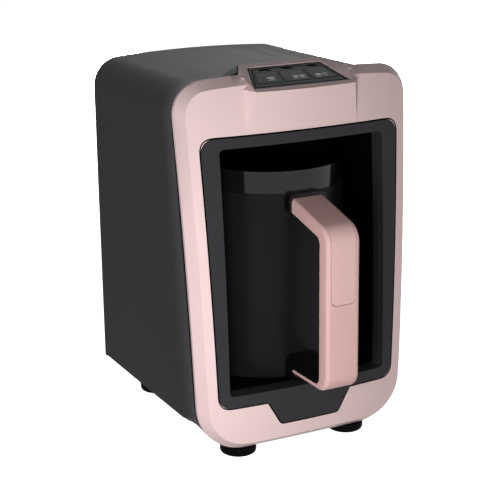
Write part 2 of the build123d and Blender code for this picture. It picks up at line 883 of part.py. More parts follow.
# ---------------------------------------------------------------- cavity_liner
liner_front_setback = bezel_back_setback + seat_gap
seal_outer = plate_radius + seal_width
sensor_radius = 6.0
sensor_flange = 8.0


def liner_plan(growth):
    """The brewing bay seen from above, grown by the wall."""
    with BuildSketch(mode=Mode.PRIVATE) as plan:
        with BuildLine():
            Polyline(
                (-liner_half - growth, front_y),
                (liner_half + growth, front_y),
                (liner_half + growth, front_y + liner_back_y + growth),
                (-liner_half - growth, front_y + liner_back_y + growth),
                close=True,
            )
        make_face()
        fillet(plan.vertices().sort_by(Axis.Y)[-2:], liner_radius + growth)
    return plan.sketch


with BuildPart() as cavity_liner:
    with BuildSketch(Plane.XY.offset(liner_floor_z - liner_wall)):
        add(liner_plan(liner_wall))
    extrude(amount=liner_ceiling_z - liner_floor_z + 2 * liner_wall)
    with BuildSketch(Plane.XY.offset(liner_floor_z)):
        add(liner_plan(0))
    extrude(amount=liner_ceiling_z - liner_floor_z, mode=Mode.SUBTRACT)
    add(crown_body(liner_front_setback), mode=Mode.INTERSECT)
    with BuildSketch(Plane.XY.offset(liner_floor_z - liner_wall)):
        with Locations((0, pot_centre_y)):
            Circle(seal_outer + screw_gap)
    extrude(amount=liner_wall, mode=Mode.SUBTRACT)
    with BuildSketch(Plane.XY.offset(liner_ceiling_z)):
        with Locations((0, pot_centre_y)):
            Circle(sensor_radius + screw_gap)
    extrude(amount=liner_wall, mode=Mode.SUBTRACT)
save(cavity_liner, "cavity_liner")

# ---------------------------------------------------------------- heater_plate
plate_bottom_z = plate_top_z - plate_thickness
probe_well = probe_radius + 0.3

with BuildPart() as heater_plate:
    with BuildSketch(Plane.XY.offset(plate_bottom_z)):
        with Locations((0, pot_centre_y)):
            Circle(plate_radius)
            Circle(probe_well, mode=Mode.SUBTRACT)
    extrude(amount=plate_thickness)
    rims = heater_plate.faces().sort_by(Axis.Z)[-1].edges()
    chamfer(rims, 0.4)
save(heater_plate, "heater_plate")

# ---------------------------------------------------------------- heater_seal
seal_lip = 1.6
seal_lip_height = 0.3
seal_lip_rise = 0.1
seal_hook_height = 1.2

with BuildPart() as heater_seal:
    with BuildSketch(Plane.XY.offset(liner_floor_z - liner_wall)):
        with Locations((0, pot_centre_y)):
            Circle(seal_outer)
            Circle(plate_radius + screw_gap, mode=Mode.SUBTRACT)
    extrude(amount=liner_wall + seal_lip_rise)
    with BuildSketch(Plane.XY.offset(liner_floor_z + seal_lip_rise)):
        with Locations((0, pot_centre_y)):
            Circle(seal_outer + seal_lip)
            Circle(plate_radius + screw_gap, mode=Mode.SUBTRACT)
    extrude(amount=seal_lip_height)
    with BuildSketch(Plane.XY.offset(liner_floor_z - liner_wall - seat_gap)):
        with Locations((0, pot_centre_y)):
            Circle(seal_outer + seal_lip)
            Circle(plate_radius + screw_gap, mode=Mode.SUBTRACT)
    extrude(amount=-seal_hook_height)
    with BuildSketch(Plane.XY.offset(liner_floor_z - liner_wall - seat_gap)):
        with Locations((0, pot_centre_y)):
            Circle(seal_outer)
            Circle(plate_radius + screw_gap, mode=Mode.SUBTRACT)
    extrude(amount=seat_gap)
save(heater_seal, "heater_seal")

# ---------------------------------------------------------------- heater_element
element_z = plate_bottom_z - element_tube - screw_gap
element_gap_angle = 50.0
tail_length = 9.0

tail_places = [
    (
        element_radius * cos(radians(angle)),
        pot_centre_y + element_radius * sin(radians(angle)),
    )
    for angle in (4.0, -element_gap_angle - 4.0)
]

with BuildPart() as heater_element:
    with BuildSketch(Plane.XZ.offset(-pot_centre_y)):
        with Locations((element_radius, element_z)):
            Circle(element_tube)
    revolve(
        axis=Axis((0, pot_centre_y, 0), (0, 0, 1)),
        revolution_arc=360 - element_gap_angle,
    )
    with BuildSketch(Plane.XY.offset(element_z - tail_length)):
        with Locations(*tail_places):
            Circle(element_tube / 2)
    extrude(amount=tail_length)
save(heater_element, "heater_element")

# ---------------------------------------------------------------- heater_bracket
bracket_top_z = 34.0
bracket_thickness = 1.6
bracket_radius = 52.0
bracket_column_radius = 3.0
bracket_column_reach = 48.0
bush_radius = 5.5
bush_height = 2.0
probe_fit = 0.06
spoke_width = 8.0
ring_width = 9.0

with BuildPart() as heater_bracket:
    with BuildSketch(Plane.XY.offset(bracket_top_z - bracket_thickness)):
        with Locations((0, pot_centre_y)):
            Circle(bracket_radius)
            Circle(bracket_radius - ring_width, mode=Mode.SUBTRACT)
            Rectangle(2 * bracket_radius - ring_width, spoke_width, rotation=45)
            Circle(bush_radius + 3.0)
    extrude(amount=bracket_thickness)
    with BuildSketch(Plane.XY.offset(bracket_top_z)):
        with Locations((0, pot_centre_y)):
            Circle(bush_radius)
    extrude(amount=bush_height)
    with BuildSketch(Plane.XY.offset(bracket_top_z)):
        with Locations((0, pot_centre_y)):
            with PolarLocations(bracket_column_reach, 4, start_angle=45):
                Circle(bracket_column_radius)
    extrude(amount=liner_floor_z - liner_wall - bracket_top_z)
    with BuildSketch(Plane.XY.offset(bracket_top_z - bracket_thickness)):
        with Locations((0, pot_centre_y)):
            Circle(probe_stem + probe_fit)
    extrude(amount=bracket_thickness + bush_height, mode=Mode.SUBTRACT)
save(heater_bracket, "heater_bracket")

# ---------------------------------------------------------------- temperature_probe
probe_top_z = pot_rest_z - screw_gap
probe_cap_height = 2.0
probe_end_z = 28.0

with BuildPart() as temperature_probe:
    with BuildSketch(Plane.XY.offset(probe_top_z - probe_cap_height)):
        with Locations((0, pot_centre_y)):
            Circle(probe_radius)
    extrude(amount=probe_cap_height)
    fillet(temperature_probe.faces().sort_by(Axis.Z)[-1].edges(), 0.5)
    with BuildSketch(Plane.XY.offset(probe_end_z)):
        with Locations((0, pot_centre_y)):
            Circle(probe_stem)
    extrude(amount=probe_top_z - probe_cap_height - probe_end_z)
save(temperature_probe, "temperature_probe")

# ---------------------------------------------------------------- probe_spring
spring_wire = 0.45
spring_radius = 4.2
spring_turns = 4
spring_bottom_z = bracket_top_z + bush_height + spring_wire + 0.02
spring_top_z = probe_top_z - probe_cap_height - spring_wire - 0.02
spring_height = spring_top_z - spring_bottom_z

with BuildPart() as probe_spring:
    with BuildLine() as coil:
        Helix(
            pitch=spring_height / spring_turns,
            height=spring_height,
            radius=spring_radius,
            center=(0, pot_centre_y, spring_bottom_z),
        )
    with BuildSketch(Plane(origin=coil.line @ 0, z_dir=coil.line % 0)):
        RegularPolygon(spring_wire, 6)
    sweep(is_frenet=True)
save(probe_spring, "probe_spring")

# ---------------------------------------------------------------- safety_thermostat
thermostat_radius = 7.5
thermostat_height = 6.0
thermostat_offset = 15.0
blade_width = 4.8
blade_thickness = 0.8
blade_length = 6.0

with BuildPart() as safety_thermostat:
    with BuildSketch(Plane.XY.offset(plate_bottom_z - thermostat_height - 0.1)):
        with Locations((0, pot_centre_y + thermostat_offset)):
            Circle(thermostat_radius)
    extrude(amount=thermostat_height)
    with BuildSketch(Plane.XY.offset(plate_bottom_z - thermostat_height - 0.1)):
        with Locations((0, pot_centre_y + thermostat_offset)):
            with GridLocations(9.0, 1.0, 2, 1):
                Rectangle(blade_thickness, blade_width)
    extrude(amount=-blade_length)
save(safety_thermostat, "safety_thermostat")

# ---------------------------------------------------------------- foam_sensor_window
sensor_height = 12.0

with BuildPart() as foam_sensor_window:
    with BuildSketch(Plane.XY.offset(liner_ceiling_z - seat_gap - 1.4)):
        with Locations((0, pot_centre_y)):
            Circle(sensor_flange)
    extrude(amount=1.4)
    fillet(foam_sensor_window.faces().sort_by(Axis.Z)[0].edges(), 0.5)
    with BuildSketch(Plane.XY.offset(liner_ceiling_z - seat_gap)):
        with Locations((0, pot_centre_y)):
            Circle(sensor_radius)
    extrude(amount=sensor_height)
save(foam_sensor_window, "foam_sensor_window")

# ---------------------------------------------------------------- heat_shield
shield_gap = 1.5
shield_thickness = 0.8
shield_bottom_z = 60.0
shield_top_z = 196.0
shield_half = 48.0
shield_return = 3.0

with BuildPart() as heat_shield:
    shield_y = front_y + liner_back_y + liner_wall
    with BuildSketch(Plane.XY.offset(shield_bottom_z)):
        with BuildLine():
            Polyline(
                (-shield_half, shield_y + shield_gap),
                (-liner_half + liner_radius, shield_y + shield_gap),
                (-liner_half + liner_radius + shield_return, shield_y + 0.1),
                (-liner_half + liner_radius + 3 * shield_return, shield_y + 0.1),
                (-liner_half + liner_radius + 4 * shield_return, shield_y + shield_gap),
                (liner_half - liner_radius - 4 * shield_return, shield_y + shield_gap),
                (liner_half - liner_radius - 3 * shield_return, shield_y + 0.1),
                (liner_half - liner_radius - shield_return, shield_y + 0.1),
                (liner_half - liner_radius, shield_y + shield_gap),
                (shield_half, shield_y + shield_gap),
            )
            offset(amount=shield_thickness, side=Side.LEFT)
        make_face()
    extrude(amount=shield_top_z - shield_bottom_z)
save(heat_shield, "heat_shield")

# ---------------------------------------------------------------- control_panel
panel_top = -panel_sunk
panel_bottom = panel_top - panel_thickness
board_top = -board_drop
key_names = ("small_brew_button", "large_brew_button", "slow_brew_button")
panel_post_places = ((-20.0, 7.2), (20.0, 7.2), (-16.0, 26.8), (16.0, 26.8))
key_middle_v = (key_front_v + key_rear_v) / 2


def key_cell(index, shrink, stretch):
    """The outline of one key in the console plane; the outer sides follow the panel."""
    taper = (panel_front_half - panel_rear_half) / (panel_rear_v - panel_front_v)
    front_v = key_front_v + shrink - stretch
    rear_v = key_rear_v - shrink + stretch
    limits = []
    for v in (front_v, rear_v):
        share = (v - key_front_v) / (key_rear_v - key_front_v)
        divide = key_divide_front + share * (key_divide_rear - key_divide_front)
        outer = panel_front_half - taper * (v - panel_front_v) - key_margin
        bounds = (-outer, -divide, divide, outer)
        low = bounds[index] + (0 if index == 0 else key_rib / 2) + shrink
        high = bounds[index + 1] - (0 if index == 2 else key_rib / 2) - shrink
        limits.append((low, high))
    with BuildSketch(mode=Mode.PRIVATE) as cell:
        with BuildLine():
            Polyline(
                (limits[0][0], front_v),
                (limits[0][1], front_v),
                (limits[1][1], rear_v),
                (limits[1][0], rear_v),
                close=True,
            )
        make_face()
        fillet(cell.vertices(), 1.2)
    return cell.sketch


def key_middle(index):
    """Middle of one key in the console plane."""
    centre = key_cell(index, key_gap, 0).bounding_box().center()
    return (centre.X, key_middle_v)


with BuildPart() as control_panel:
    with BuildSketch(console_plane.offset(panel_bottom)):
        add(console_quad(panel_front_v, panel_rear_v, 0))
        fillet(vertices(), 1.0)
        for index in range(3):
            add(key_cell(index, 0, 0), mode=Mode.SUBTRACT)
    extrude(amount=panel_thickness)
    with BuildSketch(console_plane.offset(board_top)):
        with Locations(*panel_post_places):
            Circle(panel_post_radius)
    extrude(amount=panel_bottom - board_top)
save(control_panel, "control_panel")

# ---------------------------------------------------------------- the three brew buttons
key_top = panel_top + key_proud
key_bottom = panel_bottom - seat_gap - key_flange
switch_top = board_top + switch_height
stem_end = switch_top + key_travel + 0.1


def brew_button(index):
    """A key cap with a flange that stops it under the panel and a stem for its switch."""
    with BuildPart(mode=Mode.PRIVATE) as button:
        with BuildSketch(console_plane.offset(key_bottom)):
            add(key_cell(index, key_gap, 0))
        extrude(amount=key_top - key_bottom)
        cap = button.faces().sort_by(lambda side: console_plane.to_local_coords(side.center()).Z)[-1]
        fillet(cap.edges(), 0.5)
        with BuildSketch(console_plane.offset(key_bottom)):
            add(key_cell(index, key_gap, key_flange))
        extrude(amount=key_flange)
        with BuildSketch(console_plane.offset(stem_end)):
            with Locations(key_middle(index)):
                Circle(key_stem_radius)
        extrude(amount=key_bottom - stem_end)
    return button


small_brew_button = brew_button(0)
save(small_brew_button, key_names[0])

large_brew_button = brew_button(1)
save(large_brew_button, key_names[1])

slow_brew_button = brew_button(2)
save(slow_brew_button, key_names[2])

# ---------------------------------------------------------------- tact_switches
plunger_radius = 1.6
plunger_height = 0.6

with BuildPart() as tact_switches:
    with BuildSketch(console_plane.offset(board_top)):
        with Locations(*[key_middle(index) for index in range(3)]):
            Rectangle(switch_side, switch_side)
    extrude(amount=switch_height - plunger_height)
    with BuildSketch(console_plane.offset(board_top + switch_height - plunger_height)):
        with Locations(*[key_middle(index) for index in range(3)]):
            Circle(plunger_radius)
    extrude(amount=plunger_height)
save(tact_switches, "tact_switches")

# ---------------------------------------------------------------- control_board
with BuildPart() as control_board:
    with BuildSketch(console_plane.offset(board_top - board_thickness)):
        add(console_quad(panel_front_v + 1.0, panel_rear_v - panel_ledge - 0.5, -panel_ledge - 0.5))
    extrude(amount=board_thickness)
save(control_board, "control_board")

# ---------------------------------------------------------------- buzzer
buzzer_radius = 5.0
buzzer_height = 4.0

with BuildPart() as buzzer:
    with BuildSketch(console_plane.offset(board_top - board_thickness)):
        with Locations((16.0, key_middle_v + 1.0)):
            Circle(buzzer_radius)
            Circle(1.0, mode=Mode.SUBTRACT)
    extrude(amount=-buzzer_height)
save(buzzer, "buzzer")

# ---------------------------------------------------------------- power_board
part_height = 10.0
relay_place = (-26.0, power_middle_y - 0.5)
relay_size = (26.0, 22.0)
filter_place = (30.0, power_middle_y - 3.5)
filter_size = (14.0, 18.0)
capacitor_y = power_middle_y - 5.5
capacitor_pitch = 13.0
capacitor_radius = 5.0
part_edge = 0.6
power_top_z = standoff_top + board_thickness

with BuildPart() as power_board:
    with BuildSketch(Plane.XY.offset(standoff_top)):
        with Locations((0, front_y + power_middle_y)):
            Rectangle(2 * power_half, power_depth)
    extrude(amount=board_thickness)
save(power_board, "power_board")

# ---------------------------------------------------------------- power_parts
with BuildPart() as power_parts:
    with BuildSketch(Plane.XY.offset(power_top_z)):
        with Locations((relay_place[0], front_y + relay_place[1])):
            Rectangle(*relay_size)
        with Locations((filter_place[0], front_y + filter_place[1])):
            Rectangle(*filter_size)
        with Locations((0, front_y + capacitor_y), (capacitor_pitch, front_y + capacitor_y)):
            Circle(capacitor_radius)
    extrude(amount=part_height)
    chamfer(power_parts.faces().sort_by(Axis.Z)[-4:].edges(), part_edge)
save(power_parts, "power_parts")

# ---------------------------------------------------------------- terminal_block
terminal_length = 26.0
terminal_depth = 9.0
terminal_height = 9.0
terminal_y = power_rear_y - 6.0
terminal_hole = 2.2
terminal_hole_depth = 5.0

with BuildPart() as terminal_block:
    with BuildSketch(Plane.XY.offset(power_top_z)):
        with Locations((0, front_y + terminal_y)):
            Rectangle(terminal_length, terminal_depth)
    extrude(amount=terminal_height)
    with BuildSketch(Plane.XY.offset(power_top_z + terminal_height)):
        with Locations((0, front_y + terminal_y)):
            with GridLocations(terminal_length / 3, 1.0, 3, 1):
                Circle(terminal_hole)
    extrude(amount=-terminal_hole_depth, mode=Mode.SUBTRACT)
save(terminal_block, "terminal_block")

# ---------------------------------------------------------------- pot_body
collar_inner = pot_radius - collar_wall
neck_radius = collar_inner - seat_gap
neck_top_z = pot_top_z - collar_cap
body_bottom_z = pot_rest_z + pot_base_height

pot_axis = Axis((0, pot_centre_y, 0), (0, 0, 1))
pot_plane = Plane.XZ.offset(-pot_centre_y)

with BuildPart() as pot_body:
    with BuildSketch(pot_plane):
        with BuildLine():
            Polyline(
                (0, body_bottom_z),
                (pot_radius, body_bottom_z),
                (pot_radius, pot_seam_z - seat_gap),
                (neck_radius, pot_seam_z - seat_gap),
                (neck_radius, neck_top_z),
                (neck_radius - pot_wall, neck_top_z),
                (neck_radius - pot_wall, pot_seam_z - 3.0),
                (pot_radius - pot_wall, pot_seam_z - 5.0),
                (pot_radius - pot_wall, body_bottom_z + pot_wall),
                (0, body_bottom_z + pot_wall),
                close=True,
            )
        make_face()
        foot_corners = vertices().filter_by(lambda corner: corner.X > pot_radius - 2 * pot_wall)
        fillet(foot_corners.sort_by(Axis.Y)[:1], pot_foot_radius)
    revolve(axis=pot_axis)
save(pot_body, "pot_body")

# ---------------------------------------------------------------- pot_collar
spout_top_z = pot_top_z + spout_rise

with BuildPart() as spout_core:
    with BuildSketch(pot_plane):
        with BuildLine():
            Polyline(
                (-spout_offset, pot_seam_z + 2.0),
                (-spout_offset - spout_foot_radius, pot_seam_z + 2.0),
                (-spout_offset - spout_top_radius, spout_top_z),
                (-spout_offset, spout_top_z),
                close=True,
            )
        make_face()
    revolve(axis=Axis((-spout_offset, pot_centre_y, 0), (0, 0, 1)))

with BuildPart() as spout_hollow:
    with BuildSketch(pot_plane):
        with BuildLine():
            Polyline(
                (-spout_offset, neck_top_z - 6.0),
                (-spout_offset - spout_foot_radius - 1.0, neck_top_z - 6.0),
                (-spout_offset - spout_top_radius + spout_wall, spout_top_z),
                (-spout_offset, spout_top_z),
                close=True,
            )
        make_face()
    revolve(axis=Axis((-spout_offset, pot_centre_y, 0), (0, 0, 1)))

with BuildPart() as pot_collar:
    add(spout_core.part)
    with BuildSketch(Plane.XY.offset(pot_seam_z)):
        with Locations((0, pot_centre_y)):
            Circle(collar_inner + seat_gap)
    extrude(amount=4 * spout_rise + pot_top_z - pot_seam_z, mode=Mode.SUBTRACT)
    with BuildSketch(pot_plane):
        with BuildLine():
            Polyline(
                (collar_inner, pot_seam_z),
                (pot_radius, pot_seam_z),
                (pot_radius, pot_top_z),
                (neck_radius - pot_wall, pot_top_z),
                (neck_radius - pot_wall, neck_top_z + screw_gap),
                (collar_inner, neck_top_z + screw_gap),
                close=True,
            )
        make_face()
        top_corners = vertices().filter_by(lambda corner: corner.Y > pot_top_z - 0.01)
        fillet(top_corners.sort_by(Axis.X)[-1:], 0.8)
    revolve(axis=pot_axis)
    add(spout_hollow.part, mode=Mode.SUBTRACT)
save(pot_collar, "pot_collar")

# ---------------------------------------------------------------- pot_base
with BuildPart() as pot_base:
    with BuildSketch(Plane.XY.offset(pot_rest_z)):
        with Locations((0, pot_centre_y)):
            Circle(pot_base_radius)
    extrude(amount=pot_base_height)
    chamfer(pot_base.faces().sort_by(Axis.Z)[0].edges(), 0.5)
save(pot_base, "pot_base")

# ---------------------------------------------------------------- handle_shell
handle_plane = Plane.YZ
handle_root = front_y + handle_root_y
handle_foot_root = front_y + handle_foot_root_y
handle_nose = front_y - handle_reach
handle_bend_y = handle_nose + 3.9
inner_top_y = handle_bend_y + 10.3
inner_foot_y = handle_nose + handle_grip + 0.2
handle_middle_z = (handle_arm_top_z + handle_foot_z) / 2


def loop_plan(shrink):
    """The handle's outer line seen from the side, drawn inwards by a depth."""
    with BuildSketch(mode=Mode.PRIVATE) as plan:
        with BuildLine():
            Polyline(
                (handle_root, handle_arm_top_z - shrink),
                (handle_bend_y + shrink, handle_bend_z - shrink),
                (handle_nose + shrink, handle_foot_z + shrink),
                (handle_foot_root, handle_foot_z + shrink),
                (handle_foot_root, handle_middle_z),
                (handle_root, handle_middle_z),
                close=True,
            )
        make_face()
        bend = plan.vertices().filter_by(lambda corner: abs(corner.Y - handle_bend_z) < 3)
        fillet(bend, handle_bend_radius - shrink)
        foot = plan.vertices().sort_by(Axis.Y)[:2].sort_by(Axis.X)[:1]
        fillet(foot, handle_foot_radius - shrink)
    return plan.sketch


def inlay_body(depth, gap):
    """The strip let into the front of the handle, or the pocket for it."""
    with BuildPart(mode=Mode.PRIVATE) as strip:
        with BuildSketch(handle_plane):
            add(loop_plan(0))
            add(loop_plan(depth), mode=Mode.SUBTRACT)
        extrude(amount=inlay_half + gap, both=True)
        with BuildSketch(Plane.XZ.offset(-(front_y + inlay_end_y + gap))):
            with BuildLine():
                Polyline(
                    (-inlay_half - gap, inlay_bottom_z - gap),
                    (inlay_half + gap, inlay_bottom_z - gap),
                    (inlay_half + gap, handle_arm_top_z + 5.0),
                    (-inlay_half - gap, handle_arm_top_z + 5.0),
                    close=True,
                )
            make_face()
            fillet(vertices().sort_by(Axis.Y)[:2], inlay_corner)
        extrude(amount=handle_reach, mode=Mode.INTERSECT)
    return strip.part


inlay_end_y = -28.0
inlay_corner = 4.0
handle_screw_places = [(0, front_y - 11.0), (0, front_y - 21.0)]
handle_head_height = 1.5
handle_screw_bite = 4.0

with BuildPart() as handle_shell:
    with BuildSketch(handle_plane):
        add(loop_plan(0))
    extrude(amount=handle_half_width, both=True)
    rims = handle_shell.faces().filter_by(Axis.X).edges()
    fillet(rims.filter_by(lambda edge: edge.center().Y < handle_foot_root - 0.5), 2.5)
    with BuildSketch(handle_plane):
        with BuildLine():
            Polyline(
                (handle_root + 1, handle_arm_top_z - handle_upper_arm),
                (inner_top_y, handle_bend_z - 6.8),
                (inner_foot_y, handle_foot_z + handle_lower_arm + 0.6),
                (handle_root + 1, handle_foot_z + handle_lower_arm),
                close=True,
            )
        make_face()
        fillet(vertices().sort_by(Axis.X)[:2], 5.5)
    extrude(amount=handle_half_width, both=True, mode=Mode.SUBTRACT)
    new_edges = handle_shell.edges(Select.LAST)
    side_edges = new_edges.filter_by(lambda edge: abs(edge.center().X) > handle_half_width - 0.1)
    fillet(side_edges.filter_by(lambda edge: edge.center().Y < handle_foot_root - 0.5), 1.2)
    add(inlay_body(inlay_depth + screw_gap, inlay_gap), mode=Mode.SUBTRACT)
    with BuildSketch(Plane.XY.offset(handle_foot_z)):
        with Locations(*handle_screw_places):
            Circle(screw_head_radius + screw_gap)
    extrude(amount=handle_head_height + screw_gap, mode=Mode.SUBTRACT)
    with BuildSketch(Plane.XY.offset(handle_foot_z)):
        with Locations(*handle_screw_places):
            Circle(screw_radius + screw_gap)
    extrude(amount=2 * handle_lower_arm, mode=Mode.SUBTRACT)
save(handle_shell, "handle_shell")

# ---------------------------------------------------------------- handle_inlay
with BuildPart() as handle_inlay:
    add(inlay_body(inlay_depth, 0))
save(handle_inlay, "handle_inlay")

# ---------------------------------------------------------------- handle_screws
with BuildPart() as handle_screws:
    with BuildSketch(Plane.XY.offset(handle_foot_z + 0.2)):
        with Locations(*handle_screw_places):
            Circle(screw_head_radius)
    extrude(amount=handle_head_height - 0.2)
    with BuildSketch(Plane.XY.offset(handle_foot_z + handle_head_height)):
        with Locations(*handle_screw_places):
            Circle(screw_radius)
    extrude(amount=handle_lower_arm - handle_head_height + handle_screw_bite)
save(handle_screws, "handle_screws")

# ---------------------------------------------------------------- handle_bracket_top
hood_wall = 1.7
hood_half = handle_half_width + hood_wall
hood_front_y = front_y + 3.0
hood_low_z = handle_arm_top_z - handle_upper_arm - hood_wall
hood_high_z = handle_arm_top_z + hood_wall
hood_radius = 3.4
pot_bond = 0.15
pot_face_y = pot_centre_y - pot_radius + 4.0

with BuildPart() as handle_bracket_top:
    with BuildSketch(Plane.XZ.offset(-hood_front_y)):
        with Locations((0, (hood_low_z + hood_high_z) / 2)):
            RectangleRounded(2 * hood_half, hood_high_z - hood_low_z, hood_radius)
    extrude(amount=hood_front_y - pot_face_y)
    add(handle_shell.part, mode=Mode.SUBTRACT)
    with BuildSketch(Plane.XY.offset(hood_low_z)):
        with Locations((0, pot_centre_y)):
            Circle(pot_radius + pot_bond)
    extrude(amount=hood_high_z - hood_low_z, mode=Mode.SUBTRACT)
save(handle_bracket_top, "handle_bracket_top")

# ---------------------------------------------------------------- handle_bracket_bottom
block_half = 11.8
block_top_z = handle_foot_z + 10.6
block_nose_top_z = handle_foot_z + 8.6
block_nose_y = front_y - 30.0
block_seat_z = handle_foot_z + handle_lower_arm - 0.8
block_socket = 2.0
block_lip = 1.5
block_heel_z = pot_rest_z + 2.2
block_heel_y = handle_foot_root + 2.0
block_edge = 5.4

with BuildPart() as handle_bracket_bottom:
    with BuildSketch(handle_plane):
        with BuildLine():
            Polyline(
                (pot_face_y, block_heel_z),
                (pot_face_y, block_top_z),
                (handle_foot_root, block_top_z),
                (block_nose_y, block_nose_top_z),
                (block_nose_y, block_seat_z),
                (handle_foot_root - block_socket, block_seat_z),
                (handle_foot_root - block_socket, handle_foot_z - block_lip),
                (block_heel_y, block_heel_z),
                close=True,
            )
        make_face()
    extrude(amount=block_half, both=True)
    ridges = handle_bracket_bottom.edges().filter_by(
        lambda edge: abs(edge.center().X) > block_half - 0.1 and edge.center().Z > block_nose_top_z
    )
    fillet(ridges.filter_by(lambda edge: edge.length > 10), block_edge)
    add(handle_shell.part, mode=Mode.SUBTRACT)
    with BuildSketch(Plane.XY.offset(block_heel_z - 1)):
        with Locations((0, pot_centre_y)):
            Circle(pot_radius + pot_bond)
    extrude(amount=block_top_z - block_heel_z + 2, mode=Mode.SUBTRACT)
    with BuildSketch(Plane.XY.offset(handle_foot_z)):
        with Locations(*handle_screw_places):
            Circle(screw_radius + screw_gap)
    extrude(amount=handle_lower_arm + handle_screw_bite + seat_gap, mode=Mode.SUBTRACT)
save(handle_bracket_bottom, "handle_bracket_bottom")
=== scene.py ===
"""Dresses and lights an electric Turkish coffee maker: a pearl pink front frame and
handle, a satin black shell, a glossy brewing bay and a black pot.

Blender's lengths are metres in the machine's own frame: the front faces -Y and +Z is up.
Sizes and grids here are millimetres, and `skin` turns them into metres.
"""

from __future__ import annotations

import json
import logging
import math
from dataclasses import dataclass, field
from enum import Enum
from typing import Any, Mapping, Sequence

import bmesh
import bpy
import numpy as np
from mathutils import Matrix, Vector

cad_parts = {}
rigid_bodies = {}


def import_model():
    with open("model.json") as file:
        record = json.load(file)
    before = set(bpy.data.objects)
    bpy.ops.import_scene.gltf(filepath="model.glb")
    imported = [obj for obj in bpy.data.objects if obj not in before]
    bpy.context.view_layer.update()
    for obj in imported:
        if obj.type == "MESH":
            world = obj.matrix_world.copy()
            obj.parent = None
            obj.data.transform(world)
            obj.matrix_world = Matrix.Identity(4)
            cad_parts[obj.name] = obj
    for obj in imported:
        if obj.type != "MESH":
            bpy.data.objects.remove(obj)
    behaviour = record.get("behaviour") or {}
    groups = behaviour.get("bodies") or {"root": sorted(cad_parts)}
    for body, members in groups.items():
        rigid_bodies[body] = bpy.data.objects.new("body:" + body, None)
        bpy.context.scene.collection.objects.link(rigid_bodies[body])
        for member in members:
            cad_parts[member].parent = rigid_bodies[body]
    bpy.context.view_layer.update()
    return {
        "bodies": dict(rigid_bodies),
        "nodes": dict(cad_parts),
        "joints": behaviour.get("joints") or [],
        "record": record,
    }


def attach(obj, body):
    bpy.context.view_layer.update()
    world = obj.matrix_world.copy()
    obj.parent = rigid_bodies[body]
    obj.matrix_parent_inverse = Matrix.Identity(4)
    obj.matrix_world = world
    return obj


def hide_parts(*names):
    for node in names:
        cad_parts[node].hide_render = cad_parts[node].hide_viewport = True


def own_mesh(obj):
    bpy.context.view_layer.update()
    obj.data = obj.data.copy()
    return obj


LOG = logging.getLogger("coffee_maker")
MM = 0.001  # metres in a millimetre
FRONT_Y = -68.3  # the front plane that the machine's depths start from
WELD = 2e-6  # points nearer than this, in metres, are one
FLAT_DEGREES = 0.6  # facets that turn less than this are joined
SKIN_CREASE_DEGREES = 35.0  # sharper edges of a surface stay sharp
MOULD_CREASE_DEGREES = 32.0  # sharper edges of a copied node are rounded
LARGE_ROUND, ROUND, SMALL_ROUND = 192, 128, 72  # columns of turned pieces

Array = np.ndarray
Colour = tuple[float, float, float, float]
Spot = tuple[float, float]
WHITE: Colour = (1.0, 1.0, 1.0, 1.0)
CAMERA_RAY = "Is Camera Ray"
SHOWN = (CAMERA_RAY, "Is Transmission Ray", "Is Glossy Ray")  # rays that show the backdrop
BAY_CENTRE: Spot = (0.0, -6.8)  # x and y of the axis that the pot and the hot plate share


class Body(str, Enum):
    """The rigid bodies that pieces ride on."""

    MACHINE = "machine"
    POT = "pot"
    SMALL = "small_button"
    LARGE = "large_button"
    SLOW = "slow_button"


# ------------------------------------------------------------------ shader graphs
@dataclass
class Value:
    """A float socket with arithmetic; every operator adds one Math node."""

    graph: "Graph"
    socket: Any

    def _maths(self, operation: str, *terms: Any) -> "Value":
        """Adds a Math node with these terms in order, and wraps its result."""
        node = self.graph.add("ShaderNodeMath", {"operation": operation}, dict(enumerate(terms)))
        return Value(self.graph, node.outputs[0])

    def __add__(self, other: Any) -> "Value":
        """Sum."""
        return self._maths("ADD", self, other)

    def __radd__(self, other: Any) -> "Value":
        """Sum, reflected."""
        return self._maths("ADD", other, self)

    def __sub__(self, other: Any) -> "Value":
        """Difference."""
        return self._maths("SUBTRACT", self, other)

    def __rsub__(self, other: Any) -> "Value":
        """Difference, reflected."""
        return self._maths("SUBTRACT", other, self)

    def __mul__(self, other: Any) -> "Value":
        """Product."""
        return self._maths("MULTIPLY", self, other)

    def __rmul__(self, other: Any) -> "Value":
        """Product, reflected."""
        return self._maths("MULTIPLY", other, self)

    def __truediv__(self, other: Any) -> "Value":
        """Quotient."""
        return self._maths("DIVIDE", self, other)

    def __rtruediv__(self, other: Any) -> "Value":
        """Quotient, reflected."""
        return self._maths("DIVIDE", other, self)

    def larger(self, other: Any) -> "Value":
        """The larger of two values."""
        return self._maths("MAXIMUM", self, other)

    def smaller(self, other: Any) -> "Value":
        """The smaller of two values."""
        return self._maths("MINIMUM", self, other)

    def above(self, level: float, soft: float) -> "Value":
        """0 below the level and 1 above it, with a ramp of twice the soft width between."""
        ramp = (self - (level - soft)) / (2 * soft)
        return ramp.larger(0.0).smaller(1.0)


